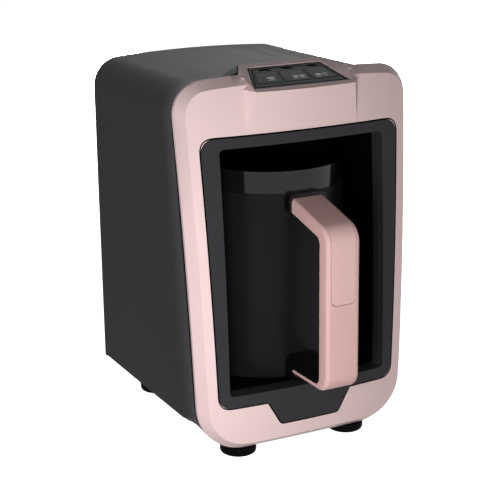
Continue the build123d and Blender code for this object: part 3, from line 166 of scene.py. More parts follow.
class Graph:
    """The node tree of one material or of the world."""

    def __init__(self, owner: Any) -> None:
        """Empties the owner's node tree.

        Args:
            owner: a material or a world.
        """
        owner.use_nodes = True
        self.owner = owner
        self.tree = owner.node_tree
        self.tree.nodes.clear()

    def add(self, kind: str, settings: Mapping[str, Any] | None = None,
            inputs: Mapping[Any, Any] | None = None) -> Any:
        """Adds one node.

        Args:
            kind: the node's type.
            settings: properties that are set first.
            inputs: socket name or number to a value, a socket or a Value.

        Returns:
            The node.
        """
        node = self.tree.nodes.new(kind)
        for key, value in (settings or {}).items():
            setattr(node, key, value)
        for key, value in (inputs or {}).items():
            socket = node.inputs[key]
            if isinstance(value, Value):
                self.tree.links.new(value.socket, socket)
            elif isinstance(value, bpy.types.NodeSocket):
                self.tree.links.new(value, socket)
            else:
                socket.default_value = value
        return node

    def position(self, scale: Sequence[float] = (1, 1, 1)) -> Any:
        """Object coordinates, stretched.

        Args:
            scale: factor along each axis.

        Returns:
            A vector socket.
        """
        coordinates = self.add("ShaderNodeTexCoord").outputs["Object"]
        mapping = self.add("ShaderNodeMapping", None, {"Vector": coordinates, "Scale": scale})
        return mapping.outputs[0]

    def noise(self, scale: float, detail: float = 2.0,
              stretch: Sequence[float] = (1, 1, 1)) -> Value:
        """Soft noise about 0.5.

        Args:
            scale: how many blobs to a metre.
            detail: octaves.
            stretch: factor along each axis.

        Returns:
            The noise's value.
        """
        node = self.add("ShaderNodeTexNoise", None,
                        {"Vector": self.position(stretch), "Scale": scale, "Detail": detail})
        return Value(self, node.outputs[0])

    def seen(self, *kinds: str) -> Value:
        """Whether a ray is of one of the kinds named.

        Args:
            kinds: outputs of Light Path.

        Returns:
            1 for such a ray and 0 for any other.
        """
        path = self.add("ShaderNodeLightPath")
        result = Value(self, path.outputs[kinds[0]])
        for kind in kinds[1:]:
            result = result.larger(Value(self, path.outputs[kind]))
        return result

    def blend(self, factor: Any, low: Any, high: Any) -> Any:
        """Mixes two linear colours or colour sockets, from low at 0 to high at 1."""
        mix = self.add("ShaderNodeMix", {"data_type": "RGBA"}, {0: factor, 6: low, 7: high})
        return mix.outputs[2]

    def bump(self, height: Value, strength: float, distance: float) -> Any:
        """A normal from a height whose unit is the distance, in metres."""
        inputs = {"Strength": strength, "Distance": distance, "Height": height}
        return self.add("ShaderNodeBump", None, inputs).outputs[0]

    def surface(self, **inputs: Any) -> Any:
        """Ends the tree in one Principled shader.

        Args:
            inputs: its sockets, with spaces written as underscores.

        Returns:
            The owner.
        """
        named = {key.replace("_", " "): value for key, value in inputs.items()}
        shader = self.add("ShaderNodeBsdfPrincipled", None, named)
        self.add("ShaderNodeOutputMaterial", None, {"Surface": shader.outputs[0]})
        return self.owner


def linear(code: str) -> Colour:
    """A colour code as linear light.

    Args:
        code: six hexadecimal digits.

    Returns:
        Red, green, blue and an alpha of 1.
    """
    parts = np.array([int(code[i:i + 2], 16) / 255 for i in (0, 2, 4)])
    light = np.where(parts <= 0.04045, parts / 12.92, ((parts + 0.055) / 1.055) ** 2.4)
    return (float(light[0]), float(light[1]), float(light[2]), 1.0)


# ------------------------------------------------------------------ finishes
@dataclass(frozen=True)
class PearlPaint:
    """Satin pearl paint on plastic: fine mica flakes in a tone that clouds slowly."""

    name: str
    code: str
    shade: str
    specular: float
    roughness: float = 0.32
    flake_scale: float = 9000.0
    cloud_scale: float = 11.0
    flake_share: float = 0.5
    spread: float = 0.06
    strength: float = 0.06
    relief: float = 0.00003

    def make(self) -> bpy.types.Material:
        """Builds the material; tone and roughness are means plus a share of each noise."""
        g = Graph(bpy.data.materials.new(self.name))
        flakes = g.noise(self.flake_scale, 1.0)
        cloud = g.noise(self.cloud_scale, 2.0)
        tone = (cloud.above(0.5, 0.35) * (1 - self.flake_share)
                + flakes.above(0.5, 0.3) * self.flake_share)
        return g.surface(
            Base_Color=g.blend(tone, linear(self.shade), linear(self.code)),
            Roughness=flakes * self.spread + (self.roughness - self.spread / 2),
            Normal=g.bump(flakes, self.strength, self.relief),
            Specular_IOR_Level=self.specular,
        )


@dataclass(frozen=True)
class Moulded:
    """Moulded plastic, enamel or rubber: one colour with a fine spark-eroded grain."""

    name: str
    code: str
    shade: str
    roughness: float
    specular: float = 0.3
    strength: float = 0.12
    grain_scale: float = 1500.0
    cloud_scale: float = 16.0
    cloud_spread: float = 0.06
    grain_spread: float = 0.04
    relief: float = 0.00004

    def make(self) -> bpy.types.Material:
        """Builds the material from a fine grain and slow cloudiness."""
        g = Graph(bpy.data.materials.new(self.name))
        grain = g.noise(self.grain_scale, 3.0)
        cloud = g.noise(self.cloud_scale, 3.0)
        least = self.roughness - (self.cloud_spread + self.grain_spread) / 2
        return g.surface(
            Base_Color=g.blend(cloud.above(0.5, 0.3), linear(self.shade), linear(self.code)),
            Roughness=cloud * self.cloud_spread + grain * self.grain_spread + least,
            Normal=g.bump(grain, self.strength, self.relief),
            Specular_IOR_Level=self.specular,
        )


@dataclass(frozen=True)
class Metal:
    """Bare or plated metal with brushing along one axis."""

    name: str
    code: str
    shade: str
    roughness: float = 0.3
    brushing: tuple[float, float, float] = (1.0, 1.0, 0.02)
    line_scale: float = 4000.0
    spread: float = 0.12
    strength: float = 0.1
    relief: float = 0.00003

    def make(self) -> bpy.types.Material:
        """Builds the material from stretched noise."""
        g = Graph(bpy.data.materials.new(self.name))
        lines = g.noise(self.line_scale, 2.0, self.brushing)
        return g.surface(
            Base_Color=g.blend(lines, linear(self.shade), linear(self.code)),
            Metallic=1.0,
            Roughness=lines * self.spread + (self.roughness - self.spread / 2),
            Normal=g.bump(lines, self.strength, self.relief),
        )


@dataclass(frozen=True)
class Tinted:
    """Dark tinted clear plastic of the sensor's window."""

    name: str
    code: str
    polish: float = 0.04
    spread: float = 0.05
    haze_scale: float = 200.0
    cover: float = 0.75

    def make(self) -> bpy.types.Material:
        """Builds a see-through material."""
        g = Graph(bpy.data.materials.new(self.name))
        haze = g.noise(self.haze_scale)
        return g.surface(Base_Color=linear(self.code), Roughness=haze * self.spread + self.polish,
                         Alpha=self.cover)


class Finish(Enum):
    """Every finish of the machine, with its recipe."""

    PEARL = PearlPaint("pearl_pink", "e8cfce", "e0c3c2", specular=0.1)
    HANDLE = PearlPaint("pearl_pink_handle", "d8b3af", "cea6a2", specular=0.08)
    INLAY = PearlPaint("pearl_pink_inlay", "dbb8b4", "d2aca8", specular=0.12)
    SHELL = Moulded("shell_satin_black", "212122", "1d1d1e", 0.42, specular=0.05)
    BEZEL = Moulded("bezel_grey_black", "313134", "2b2b2e", 0.34, specular=0.16, strength=0.06)
    BAY = Moulded("bay_gloss_black", "060909", "040606", 0.14, specular=0.1, strength=0.03)
    BASE = Moulded("base_matt_black", "181818", "121212", 0.6, specular=0.2, strength=0.25)
    RUBBER = Moulded("foot_rubber", "0a0a0a", "060606", 0.7, specular=0.05, strength=0.3)
    POT = Moulded("pot_satin_coating", "17171a", "131315", 0.33, specular=0.09, strength=0.05)
    COLLAR = Moulded("collar_gloss", "101113", "0d0e10", 0.12, specular=0.5, strength=0.02)
    BRACKET = Moulded("bracket_satin", "0c0c0d", "080808", 0.3, strength=0.06)
    PANEL = Moulded("panel_gloss", "2b3131", "262c2c", 0.18, specular=0.11, strength=0.03)
    KEY = Moulded("key_gloss", "2e3434", "292f2f", 0.16, specular=0.14, strength=0.02)
    INK = Moulded("icon_ink", "f0f2f2", "e6e8e8", 0.5, strength=0.03)
    # black for the panel's gasket and the dark crescents, and painted shade: the band round the
    # bezel and the panel's groove line
    SEAM = Moulded("seam_and_shade_black", "020303", "010202", 0.6, specular=0.0, strength=0.02)
    BOARD = Moulded("board_mask", "1f6b3c", "1a5a33", 0.3)
    PART = Moulded("component_body", "1c1c1c", "151515", 0.5)
    TERMINAL = Moulded("terminal_white", "cfcabc", "c2bdb0", 0.5)
    PLATE = Moulded("plate_coating", "1a1a1a", "131313", 0.5, strength=0.2)
    STEEL = Metal("steel_sheet", "b4b4b4", "8f8f8f")
    ZINC = Metal("zinc_plate", "b9bcbf", "909396", 0.25, brushing=(1, 1, 1))
    ELEMENT = Metal("element_sheath", "5d5a57", "3f3d3b", 0.45)
    PROBE = Metal("probe_steel", "c2c2c2", "9c9c9c", 0.28, brushing=(1, 1, 1))
    WINDOW = Tinted("sensor_window", "1c1413")


# ------------------------------------------------------------------ surfaces
def rounded(points: Sequence[Sequence[float]], closed: bool = False, steps: int = 5) -> Array:
    """Rounds the corners of an outline.

    A corner P with cut c becomes (1-t)^2 A + 2t(1-t) P + t^2 B with t from 0 to 1, where
    A and B lie c from P towards its neighbours, and at most half way to them.

    Args:
        points: rows of first coordinate, second coordinate and cut.
        closed: whether the last point joins the first.
        steps: points on each corner.

    Returns:
        Rows of the two coordinates.
    """
    rows = np.asarray(points, float)
    place, cut = rows[:, :2], rows[:, 2:].copy()
    if not closed:
        cut[[0, -1]] = 0.0

    def towards(shift: int) -> Array:
        """The corners moved by their cuts towards the neighbour at the shift."""
        step = np.roll(place, shift, axis=0) - place
        length = np.maximum(np.linalg.norm(step, axis=1, keepdims=True), 1e-9)
        return place + step / length * np.minimum(cut, length / 2)

    before, after = towards(1)[:, None], towards(-1)[:, None]
    t = np.linspace(0.0, 1.0, steps)[None, :, None]
    curve = (1 - t) ** 2 * before + 2 * t * (1 - t) * place[:, None] + t ** 2 * after
    return curve.reshape(-1, 2)


def turned(profile: Array, centre: Sequence[float], turns: int) -> Array:
    """A profile turned about an upright axis.

    Row i and column j give the centre plus r_i (cos a_j, sin a_j) at height z_i, where
    a_j goes once round.

    Args:
        profile: rows of radius and height.
        centre: x and y of the axis.
        turns: columns.

    Returns:
        A grid of points.
    """
    angle = np.linspace(0.0, 2 * np.pi, turns, endpoint=False)[None]
    radius, height = profile[:, :1], profile[:, 1:]
    x = centre[0] + radius * np.cos(angle)
    y = centre[1] + radius * np.sin(angle)
    return np.stack([x, y, height + 0 * angle], axis=-1)


def even(path: Array, count: int) -> Array:
    """A closed path's points at equal steps along it.

    The coordinates are read off, by straight lines between the points, at count equal
    shares of the path's whole length.

    Args:
        path: rows of two coordinates.
        count: how many points.

    Returns:
        Rows of two coordinates.
    """
    ring = np.vstack([path, path[:1]])
    run = np.concatenate([[0.0], np.cumsum(np.linalg.norm(np.diff(ring, axis=0), axis=1))])
    place = np.linspace(0.0, run[-1], count, endpoint=False)
    return np.stack([np.interp(place, run, column) for column in ring.T], axis=-1)


def ribbon(path: Array, half: Array | float, low: float, high: float,
           closed: bool = False) -> Array:
    """A flat strip along a path in a plane.

    Each row is the path's point moved by +half and -half along the path's normal, at the
    low and the high level. On an open path the first and the last row have no width.

    Args:
        path: rows of the plane's two coordinates.
        half: half the width, one for all rows or one for each.
        low: level of the underside.
        high: level of the top.
        closed: whether the path's last point joins its first.

    Returns:
        A grid of four columns that close round.
    """
    across = np.roll(path, -1, axis=0) - np.roll(path, 1, axis=0)
    tangent = across if closed else np.gradient(path, axis=0)
    tangent /= np.maximum(np.linalg.norm(tangent, axis=1, keepdims=True), 1e-9)
    normal = np.stack([-tangent[:, 1], tangent[:, 0]], axis=-1)
    width = np.broadcast_to(np.asarray(half, float), (len(path),)).copy()
    if not closed:
        width[[0, -1]] = 0.0
    sides = np.array([1.0, 1.0, -1.0, -1.0])
    levels = np.array([low, high, high, low])
    flat = path[:, None] + normal[:, None] * (width[:, None] * sides)[..., None]
    upright = np.broadcast_to(levels[None, :, None], (*flat.shape[:2], 1))
    return np.concatenate([flat, upright], axis=-1)


def skin(name: str, grids: Sequence[Array], ring: bool = False) -> bpy.types.Object:
    """Makes one closed mesh of grids of points.

    The face of row i and column j joins the points (i, j), (i, j+1), (i+1, j+1) and
    (i+1, j); columns count round, and rows do where the grid is a ring.

    Args:
        name: the piece's name.
        grids: arrays of rows, columns and three coordinates in millimetres.
        ring: whether the last row joins the first.

    Returns:
        The piece, at the origin.
    """
    points, faces, count = [], [], 0
    for grid in grids:
        rows, columns = grid.shape[:2]
        index = np.arange(rows * columns).reshape(rows, columns) + count
        right, down = np.roll(index, -1, axis=1), np.roll(index, -1, axis=0)
        quads = np.stack([index, right, np.roll(right, -1, axis=0), down], axis=-1)
        faces.append((quads if ring else quads[:-1]).reshape(-1, 4))
        points.append(grid.reshape(-1, 3) * MM)
        count += rows * columns
    mesh = bpy.data.meshes.new(name)
    mesh.from_pydata(np.concatenate(points).tolist(), [], np.concatenate(faces).tolist())
    piece = bpy.data.objects.new(name, mesh)
    bpy.context.scene.collection.objects.link(piece)
    work = bmesh.new()
    work.from_mesh(mesh)
    bmesh.ops.remove_doubles(work, verts=work.verts, dist=WELD)
    bmesh.ops.dissolve_degenerate(work, edges=work.edges, dist=WELD / 2)
    bmesh.ops.recalc_face_normals(work, faces=work.faces)
    work.to_mesh(mesh)
    work.free()
    mesh.shade_smooth()
    mesh.set_sharp_from_angle(angle=math.radians(SKIN_CREASE_DEGREES))
    return piece


# ------------------------------------------------------------------ the shop
@dataclass
class Workshop:
    """Makes each finish once, dresses pieces and hangs them on their bodies."""

    frame: Mapping[str, Any]
    made: dict[Finish, bpy.types.Material] = field(default_factory=dict)

    def dress(self, piece: bpy.types.Object, finish: Finish) -> None:
        """Gives a piece its finish in every slot, making the finish on first use.

        Args:
            piece: a mesh object.
            finish: which finish.
        """
        if finish not in self.made:
            self.made[finish] = finish.value.make()
        if not piece.data.materials:
            piece.data.materials.append(self.made[finish])
        for slot in piece.material_slots:
            slot.material = self.made[finish]

    def keep(self, node: str, finish: Finish) -> None:
        """Dresses a CAD node whose shape is right as it is."""
        self.dress(self.frame["nodes"][node], finish)
        LOG.info("kept %s", node)

    def place(self, piece: bpy.types.Object, finish: Finish, slot: str, body: Body = Body.MACHINE,
              node: str = "") -> bpy.types.Object:
        """Dresses a new piece and hangs it on its body.

        Args:
            piece: the piece.
            finish: which finish.
            slot: the record's material slot; not used.
            body: the body it rides on.
            node: the CAD node that it stands for, if any.

        Returns:
            The piece.
        """
        self.dress(piece, finish)
        if node:
            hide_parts(node)
        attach(piece, body.value)
        LOG.info("built %s on %s", piece.name, body.value)
        return piece

    def soften(self, node: str, finish: Finish, slot: str, body: Body = Body.MACHINE,
               edge: float = 0.3) -> bpy.types.Object:
        """Copies a node, welds it and rounds its edges as a mould or press leaves them.

        Args:
            node: the CAD node.
            finish: which finish.
            slot: the record's material slot.
            body: the body it rides on.
            edge: width of the rounding in millimetres, 0 for none.

        Returns:
            The new piece.
        """
        mesh = self.frame["nodes"][node].data.copy()
        mesh.name = f"{node}_skin"
        piece = bpy.data.objects.new(mesh.name, mesh)
        bpy.context.scene.collection.objects.link(piece)
        work = bmesh.new()
        work.from_mesh(mesh)
        bmesh.ops.remove_doubles(work, verts=work.verts, dist=WELD)
        bmesh.ops.dissolve_limit(work, angle_limit=math.radians(FLAT_DEGREES), verts=work.verts,
                                 edges=work.edges)
        bmesh.ops.recalc_face_normals(work, faces=work.faces)
        work.to_mesh(mesh)
        work.free()
        if "custom_normal" in mesh.attributes:
            mesh.attributes.remove(mesh.attributes["custom_normal"])
        mesh.shade_smooth()
        crease = math.radians(MOULD_CREASE_DEGREES)
        if edge:
            bevel = piece.modifiers.new("edge", "BEVEL")
            bevel.width = edge * MM
            bevel.segments = 2
            bevel.limit_method = "ANGLE"
            bevel.angle_limit = crease
        mesh.set_sharp_from_angle(angle=crease)
        return self.place(piece, finish, slot, body, node)


@dataclass(frozen=True)
class Screw:
    """A pan-head screw with a cross recess.

    The head's shape is in shares of its radius and height, from its flat top down.
    """

    head_radius: float = 3.0
    head_height: float = 1.6
    head_shape: tuple[tuple[float, float], ...] = ((0.7, 1.0), (0.9, 0.86), (1.0, 0.5), (1.0, 0.0))
    shank_radius: float = 1.5
    shank_length: float = 5.0
    recess_half: float = 0.42
    recess_reach: float = 1.75
    recess_depth: float = 0.9
    recess_floor: float = 0.8
    turns: int = 64

    def grid(self, seat: Sequence[float], out: Sequence[float]) -> Array:
        """The screw's surface, from the bottom of its recess over the head to the shank's end.

        The recess's radius at the angle a is half a bar over the smaller of |sin a| and
        |cos a|, which is the outline of two crossed bars, and at most the recess's reach.

        Args:
            seat: the point under the head on the screw's axis.
            out: unit vector from the shank to the head, square to X.

        Returns:
            A grid of rings.
        """
        angle = np.linspace(0.0, 2 * np.pi, self.turns, endpoint=False)
        nearest = np.minimum(np.abs(np.sin(angle)), np.abs(np.cos(angle)))
        cross = np.minimum(self.recess_reach, self.recess_half / np.maximum(nearest, 1e-6))
        whole = np.ones_like(angle)
        floor = self.head_height - self.recess_depth
        rings = [(0 * whole, floor), (self.recess_floor * cross, floor), (cross, self.head_height)]
        rings += [(self.head_radius * wide * whole, self.head_height * high)
                  for wide, high in self.head_shape]
        rings += [(self.shank_radius * whole, 0.0), (self.shank_radius * whole, -self.shank_length),
                  (0 * whole, -self.shank_length)]
        radius = np.array([ring for ring, _ in rings])[..., None]
        level = np.array([height for _, height in rings])[:, None, None]
        across = np.array([1.0, 0.0, 0.0])
        axis = np.asarray(out, float)
        side = np.cross(axis, across)
        spread = np.cos(angle)[None, :, None] * across + np.sin(angle)[None, :, None] * side
        return np.asarray(seat, float) + radius * spread + level * axis


# ------------------------------------------------------------------ sub-assemblies
@dataclass
class Housing:
    """Front frame, bezel, shell, covers, feet and the screws that hold them.

    The sole's rows are the radius, height and cut of its corners, from the middle out.
    """

    shop: Workshop
    foot_x: float = 43.0
    foot_y: tuple[float, float] = (17.8, 144.0)
    foot_radius: float = 12.5
    foot_height: float = 6.6
    foot_rim: tuple[float, float] = (0.9, 1.4)
    foot_sole: tuple[tuple[float, float, float], ...] = (
        (0, 0.6, 0), (5.6, 0.6, 0.2), (6.0, 0, 0.2), (7.6, 0, 0.2), (8.0, 0.5, 0.2),
        (9.0, 0.5, 0.2), (9.4, 0, 0.2))
    stud_radius: float = 3.0
    stud_top: float = 11.6
    rear_y: float = 107.7
    rear_screw_x: float = 54.0
    rear_screw_z: tuple[float, float] = (38.0, 224.0)
    base_screws: tuple[tuple[float, float], ...] = ((63.0, 38.0), (62.0, 158.0))
    base_screw_z: float = 20.4
    base_shank: float = 12.0
    window_half: tuple[float, float] = (67.0, 74.3)
    window_z: tuple[float, float] = (41.1, 220.6)
    window_radius: float = 9.6
    tab_half: tuple[float, float] = (31.8, 22.0)
    tab_z: float = 24.7
    tab_cuts: tuple[float, float] = (0.2, 2.0)
    crown_y: float = FRONT_Y + 0.736
    crown_z: float = 131.3
    lean: float = 0.08
    upright_radius: float = 2129.5
    level_radius: float = 610.2
    # the band round the bezel is painted shadow: it is dark where the gap's shade falls
    shadow_growth: float = 0.6
    shadow_half: float = 0.42
    shadow_buried: float = 0.4
    shadow_proud: float = 0.08
    seam_points: int = 480

    def bezel_painted_shadow(self) -> None:
        """Painted shadow round the bezel: a dark band that lies on the crowned front face.

        The face's depth at x and z is the crown's foremost depth plus lean h plus
        h^2 / 2R plus x^2 / 2r, where h is the height above the crown's middle.
        """
        g = self.shadow_growth
        low, high = self.window_z
        foot, head = self.window_half
        tab_head, tab_foot = self.tab_half
        head_cut, foot_cut = self.tab_cuts
        right = [(tab_foot + g / 2, self.tab_z - g, foot_cut),
                 (tab_head + g / 2, low - g, head_cut),
                 (foot + g, low - g, self.window_radius),
                 (head + g, high + g, self.window_radius)]
        left = [(-x, z, cut) for x, z, cut in reversed(right)]
        path = even(rounded(right + left, closed=True, steps=9), self.seam_points)
        band = ribbon(path, self.shadow_half, -self.shadow_buried, self.shadow_proud, closed=True)
        x, z, level = band[..., 0], band[..., 1], band[..., 2]
        h = z - self.crown_z
        crown = h ** 2 / (2 * self.upright_radius) + x ** 2 / (2 * self.level_radius)
        depth = self.crown_y + self.lean * h + crown
        grid = np.stack([x, depth - level, z], axis=-1)
        self.shop.place(skin("bezel_painted_shadow", [grid], ring=True), Finish.SEAM, "bezel_black")

    def feet(self) -> None:
        """Four turned rubber feet: ribbed soles, a rounded rim and the stud above."""
        r, h = self.foot_radius, self.foot_height
        inset, rise = self.foot_rim
        side_and_stud = ((r - inset, 0, 0.9), (r, rise, 0.8), (r, h, 0.7),
                         (self.stud_radius, h, 0), (self.stud_radius, self.stud_top, 0),
                         (0, self.stud_top, 0))
        profile = rounded(self.foot_sole + side_and_stud)
        grids = [turned(profile, (side * self.foot_x, FRONT_Y + y), SMALL_ROUND)
                 for side in (-1, 1) for y in self.foot_y]
        self.shop.place(skin("feet_turned", grids), Finish.RUBBER, "foot_rubber", node="feet")

    def screws(self) -> None:
        """The four screws of the rear cover and the four of the base plate."""
        rear = Screw()
        grids = [rear.grid((side * self.rear_screw_x, self.rear_y, z), (0, 1, 0))
                 for side in (-1, 1) for z in self.rear_screw_z]
        self.shop.place(skin("rear_screw_heads", grids), Finish.ZINC, "screw_steel",
                        node="rear_screws")
        base = Screw(shank_length=self.base_shank)
        grids = [base.grid((side * x, FRONT_Y + y, self.base_screw_z), (0, 0, -1))
                 for side in (-1, 1) for x, y in self.base_screws]
        self.shop.place(skin("base_screw_heads", grids), Finish.ZINC, "screw_steel",
                        node="base_screws")

    def build(self) -> None:
        """Builds the whole housing."""
        soften = self.shop.soften
        soften("front_frame", Finish.PEARL, "frame_pink")
        soften("front_bezel", Finish.BEZEL, "bezel_black", edge=0.35)
        soften("outer_shell", Finish.SHELL, "shell_black")
        soften("rear_cover", Finish.BASE, "base_black")
        soften("base_plate", Finish.BASE, "base_black")
        soften("cable_gland", Finish.BASE, "base_black")
        self.bezel_painted_shadow()
        self.feet()
        self.screws()


@dataclass
class Bay:
    """The brewing bay: glossy liner, grooved hot plate and what works under it."""

    shop: Workshop
    centre: Spot = BAY_CENTRE
    plate_radius: float = 38.0
    plate_hole: float = 6.7
    plate_top: float = 49.0
    plate_thickness: float = 4.5
    plate_rim: float = 2.0
    hole_rim: float = 1.5
    groove_pitch: float = 5.0
    groove_depth: float = 0.25
    rows: int = 220
    spring_foot: float = 36.0
    spring_pressed: float = 0.86

    def spring(self) -> None:
        """The probe's coil, copied from the CAD node with no rounding and given its own mesh."""
        coil = self.shop.soften("probe_spring", Finish.ZINC, "screw_steel", edge=0.0)
        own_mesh(coil)

    def hot_plate(self) -> None:
        """A turned plate with concentric grooves.

        The top's height at the radius r is the plate's top less the groove's depth times
        max(0, cos(2 pi r / pitch))^4, between the two rims.
        """
        high, bottom = self.plate_top, self.plate_top - self.plate_thickness
        rim, lip = self.plate_radius - self.plate_rim, self.plate_hole + self.hole_rim
        radius = np.linspace(rim, lip, self.rows)
        wave = np.maximum(0.0, np.cos(2 * np.pi * radius / self.groove_pitch)) ** 4
        top = np.stack([radius, high - self.groove_depth * wave], axis=-1)
        outer = rounded([(self.plate_hole, bottom, 0), (self.plate_radius, bottom, 0.3),
                         (self.plate_radius, high, 0.6), (rim, high, 0)])
        inner = rounded([(lip, high, 0), (self.plate_hole, high, 0.5),
                         (self.plate_hole, bottom, 0)])
        grid = turned(np.concatenate([outer, top, inner]), self.centre, ROUND)
        self.shop.place(skin("hot_plate", [grid], ring=True), Finish.PLATE, "plate_metal",
                        node="heater_plate")

    def build(self) -> None:
        """Builds the bay and dresses what stays as the CAD has it."""
        self.shop.soften("cavity_liner", Finish.BAY, "liner_black", edge=0.4)
        self.hot_plate()
        self.spring()
        kept = {"heater_seal": Finish.RUBBER, "heater_element": Finish.ELEMENT,
                "heater_bracket": Finish.STEEL, "heat_shield": Finish.STEEL,
                "temperature_probe": Finish.PROBE, "safety_thermostat": Finish.PART,
                "foam_sensor_window": Finish.WINDOW}
        for node, finish in kept.items():
            self.shop.keep(node, finish)


@dataclass(frozen=True)
class PanelSeam:
    """A strip round the panel: how far past its edge, half its width and its two levels."""

    growth: float
    half: float
    low: float
    high: float


@dataclass(frozen=True)
class Cup:
    """A printed cup's proportions, as shares of half the bowl's width."""

    bowl_top: float = 0.8
    bowl_depth: float = 1.5
    saucer_half: float = 1.4
    saucer_drop: float = 1.05
    ear_place: Spot = (0.9, 0.3)
    ear_reach: Spot = (0.45, 0.4)


@dataclass
class Console:
    """The sloping panel with three keys, their printed icons and three dark crescents.

    Places on it are u to the right, v up the slope and n out of it. Each printed cup is a
    key, its u and v and half the bowl's width; an arc is its start, middle and end.
    """

    shop: Workshop
    origin: tuple[float, float, float] = (0.0, FRONT_Y + 8.0, 249.4)
    rise: float = 11.0
    run: float = 31.7
    panel_level: float = -0.8
    key_level: float = -0.5
    ink: float = 0.05
    buried: float = 0.15
    stroke: float = 0.22
    panel_v: Spot = (5.0, 30.0)
    panel_half: Spot = (35.2, 27.0)
    panel_cut: float = 1.2
    seam_points: int = 240
    gasket: PanelSeam = PanelSeam(0.6, 0.55, -2.4, -0.85)
    # the groove is painted shade: a flat black line a hair proud of the panel, not a cut
    groove: PanelSeam = PanelSeam(-1.5, 0.32, -0.95, -0.75)
    cup_shape: Cup = Cup()
    cups: tuple[tuple[Body, float, float, float], ...] = (
        (Body.SMALL, -17.9, 15.9, 2.1),
        (Body.LARGE, 0.2, 15.2, 1.9),
        (Body.LARGE, 5.2, 15.2, 1.9),
        (Body.SLOW, 17.2, 14.7, 2.0),
    )
    grip: tuple[Spot, Spot, Spot] = ((-21.9, 16.6), (-20.7, 16.0), (-20.6, 15.2))
    grip_half: float = 0.3
    dial_centre: Spot = (22.6, 14.6)
    dial_radius: float = 1.7
    dial_half: float = 0.3
    hands: tuple[Spot, Spot, Spot] = ((22.6, 15.8), (22.6, 14.7), (23.6, 14.4))
    hands_half: float = 0.25
    crescent_half: float = 1.0
    crescents_at: tuple[tuple[Spot, Spot, Spot], ...] = (
        ((-21.2, 26.2), (-16.4, 27.5), (-12.3, 24.9)),
        ((-4.5, 27.6), (0.2, 27.2), (4.6, 25.9)),
        ((15.0, 27.6), (19.6, 27.3), (23.9, 26.4)),
    )

    def lay(self, grid: Array) -> Array:
        """Turns (u, v, n) into the machine's axes.

        The point is the origin + u X + v (0, cos s, sin s) + n (0, -sin s, cos s), where
        tan s is the slope's rise over its run.

        Args:
            grid: points on the slope.

        Returns:
            The same points in millimetres.
        """
        slope = math.atan2(self.rise, self.run)
        axes = np.array([[1, 0, 0], [0, math.cos(slope), math.sin(slope)],
                         [0, -math.sin(slope), math.cos(slope)]])
        return np.asarray(self.origin) + grid @ axes

    def strip(self, path: Array, half: Array | float, level: float) -> Array:
        """A printed strip lying on a level, a hair proud of it."""
        return self.lay(ribbon(path, half, level - self.buried, level + self.ink))

    def cup(self, u: float, v: float, size: float) -> list[Array]:
        """A cup over a saucer.

        The bowl is a strip down its axis, half as wide as sqrt(1 - t^3) of its size at
        the share t of its depth; the saucer is a line, and the ear an arc.

        Args:
            u: the cup's middle across the slope.
            v: its middle up the slope.
            size: half the bowl's width.

        Returns:
            Grids on the slope.
        """
        shape, t = self.cup_shape, np.linspace(0.0, 1.0, 14)
        middle, turn = np.array([u, v]), np.pi * (0.5 - t)
        bowl = np.stack([0 * t, shape.bowl_top - shape.bowl_depth * t], axis=-1)
        saucer = np.stack([shape.saucer_half * (2 * t - 1), 0 * t - shape.saucer_drop], axis=-1)
        ear = shape.ear_place + np.stack([np.cos(turn), np.sin(turn)], axis=-1) * shape.ear_reach
        bowl, saucer, ear = (middle + size * line for line in (bowl, saucer, ear))
        return [self.strip(bowl, size * np.sqrt(np.maximum(0.0, 1 - t ** 3)), self.key_level),
                self.strip(saucer, self.stroke, self.key_level),
                self.strip(ear, self.stroke, self.key_level)]

    def bend(self, start: Sequence[float], middle: Sequence[float], end: Sequence[float],
             half: float, level: float) -> Array:
        """A strip along the parabola through three points, widest at its middle.

        At the share t of its length it is as wide as sin(pi t)^0.6 of its greatest width.

        Args:
            start: u and v of one end.
            middle: u and v half way.
            end: u and v of the other end.
            half: half its greatest width.
            level: the level it lies on.

        Returns:
            A grid on the slope.
        """
        t = np.linspace(0.0, 1.0, 18)[:, None]
        a, b, c = (np.asarray(p, float) for p in (start, middle, end))
        path = a * (1 - t) * (1 - 2 * t) + b * 4 * t * (1 - t) + c * t * (2 * t - 1)
        return self.strip(path, half * np.sin(np.pi * t[:, 0]) ** 0.6, level)

    def icons(self) -> None:
        """One cup, two cups and a cup beside a clock, each riding on its key.

        The dial is a circle, and the grip and the hands are arcs.
        """
        turn = np.linspace(0.0, 2 * np.pi, 28)
        ring = np.stack([np.cos(turn), np.sin(turn)], axis=-1)
        dial = np.asarray(self.dial_centre) + self.dial_radius * ring
        marks: dict[Body, list[Array]] = {Body.SMALL: [], Body.LARGE: [], Body.SLOW: []}
        for body, *cup in self.cups:
            marks[body] += self.cup(*cup)
        marks[Body.SMALL].append(self.bend(*self.grip, self.grip_half, self.key_level))
        marks[Body.SLOW] += [self.strip(dial, self.dial_half, self.key_level),
                             self.bend(*self.hands, self.hands_half, self.key_level)]
        for body, grids in marks.items():
            name = f"{body.value.replace('_button', '')}_brew_icon"
            self.shop.place(skin(name, grids), Finish.INK, "key_black", body)

    def gasket_and_groove_shade(self) -> None:
        """A black gasket in the gap round the panel, and a flat black line just inside its edge
        that paints a groove's shade.
        """
        grids = []
        for seam in (self.gasket, self.groove):
            (near, far), (low, high) = self.panel_half, self.panel_v
            corners = [(near + seam.growth, low - seam.growth, self.panel_cut),
                       (far + seam.growth, high + seam.growth, self.panel_cut)]
            corners += [(-u, v, cut) for u, v, cut in reversed(corners)]
            path = even(rounded(corners, closed=True), self.seam_points)
            grids.append(self.lay(ribbon(path, seam.half, seam.low, seam.high, closed=True)))
        self.shop.place(skin("panel_gasket_and_groove_shade", grids, ring=True), Finish.SEAM, "panel_black")

    def crescents(self) -> None:
        """Three dark crescents at the back of the panel."""
        grids = [self.bend(*arc, self.crescent_half, self.panel_level) for arc in self.crescents_at]
        self.shop.place(skin("dark_crescents", grids), Finish.SEAM, "panel_black")

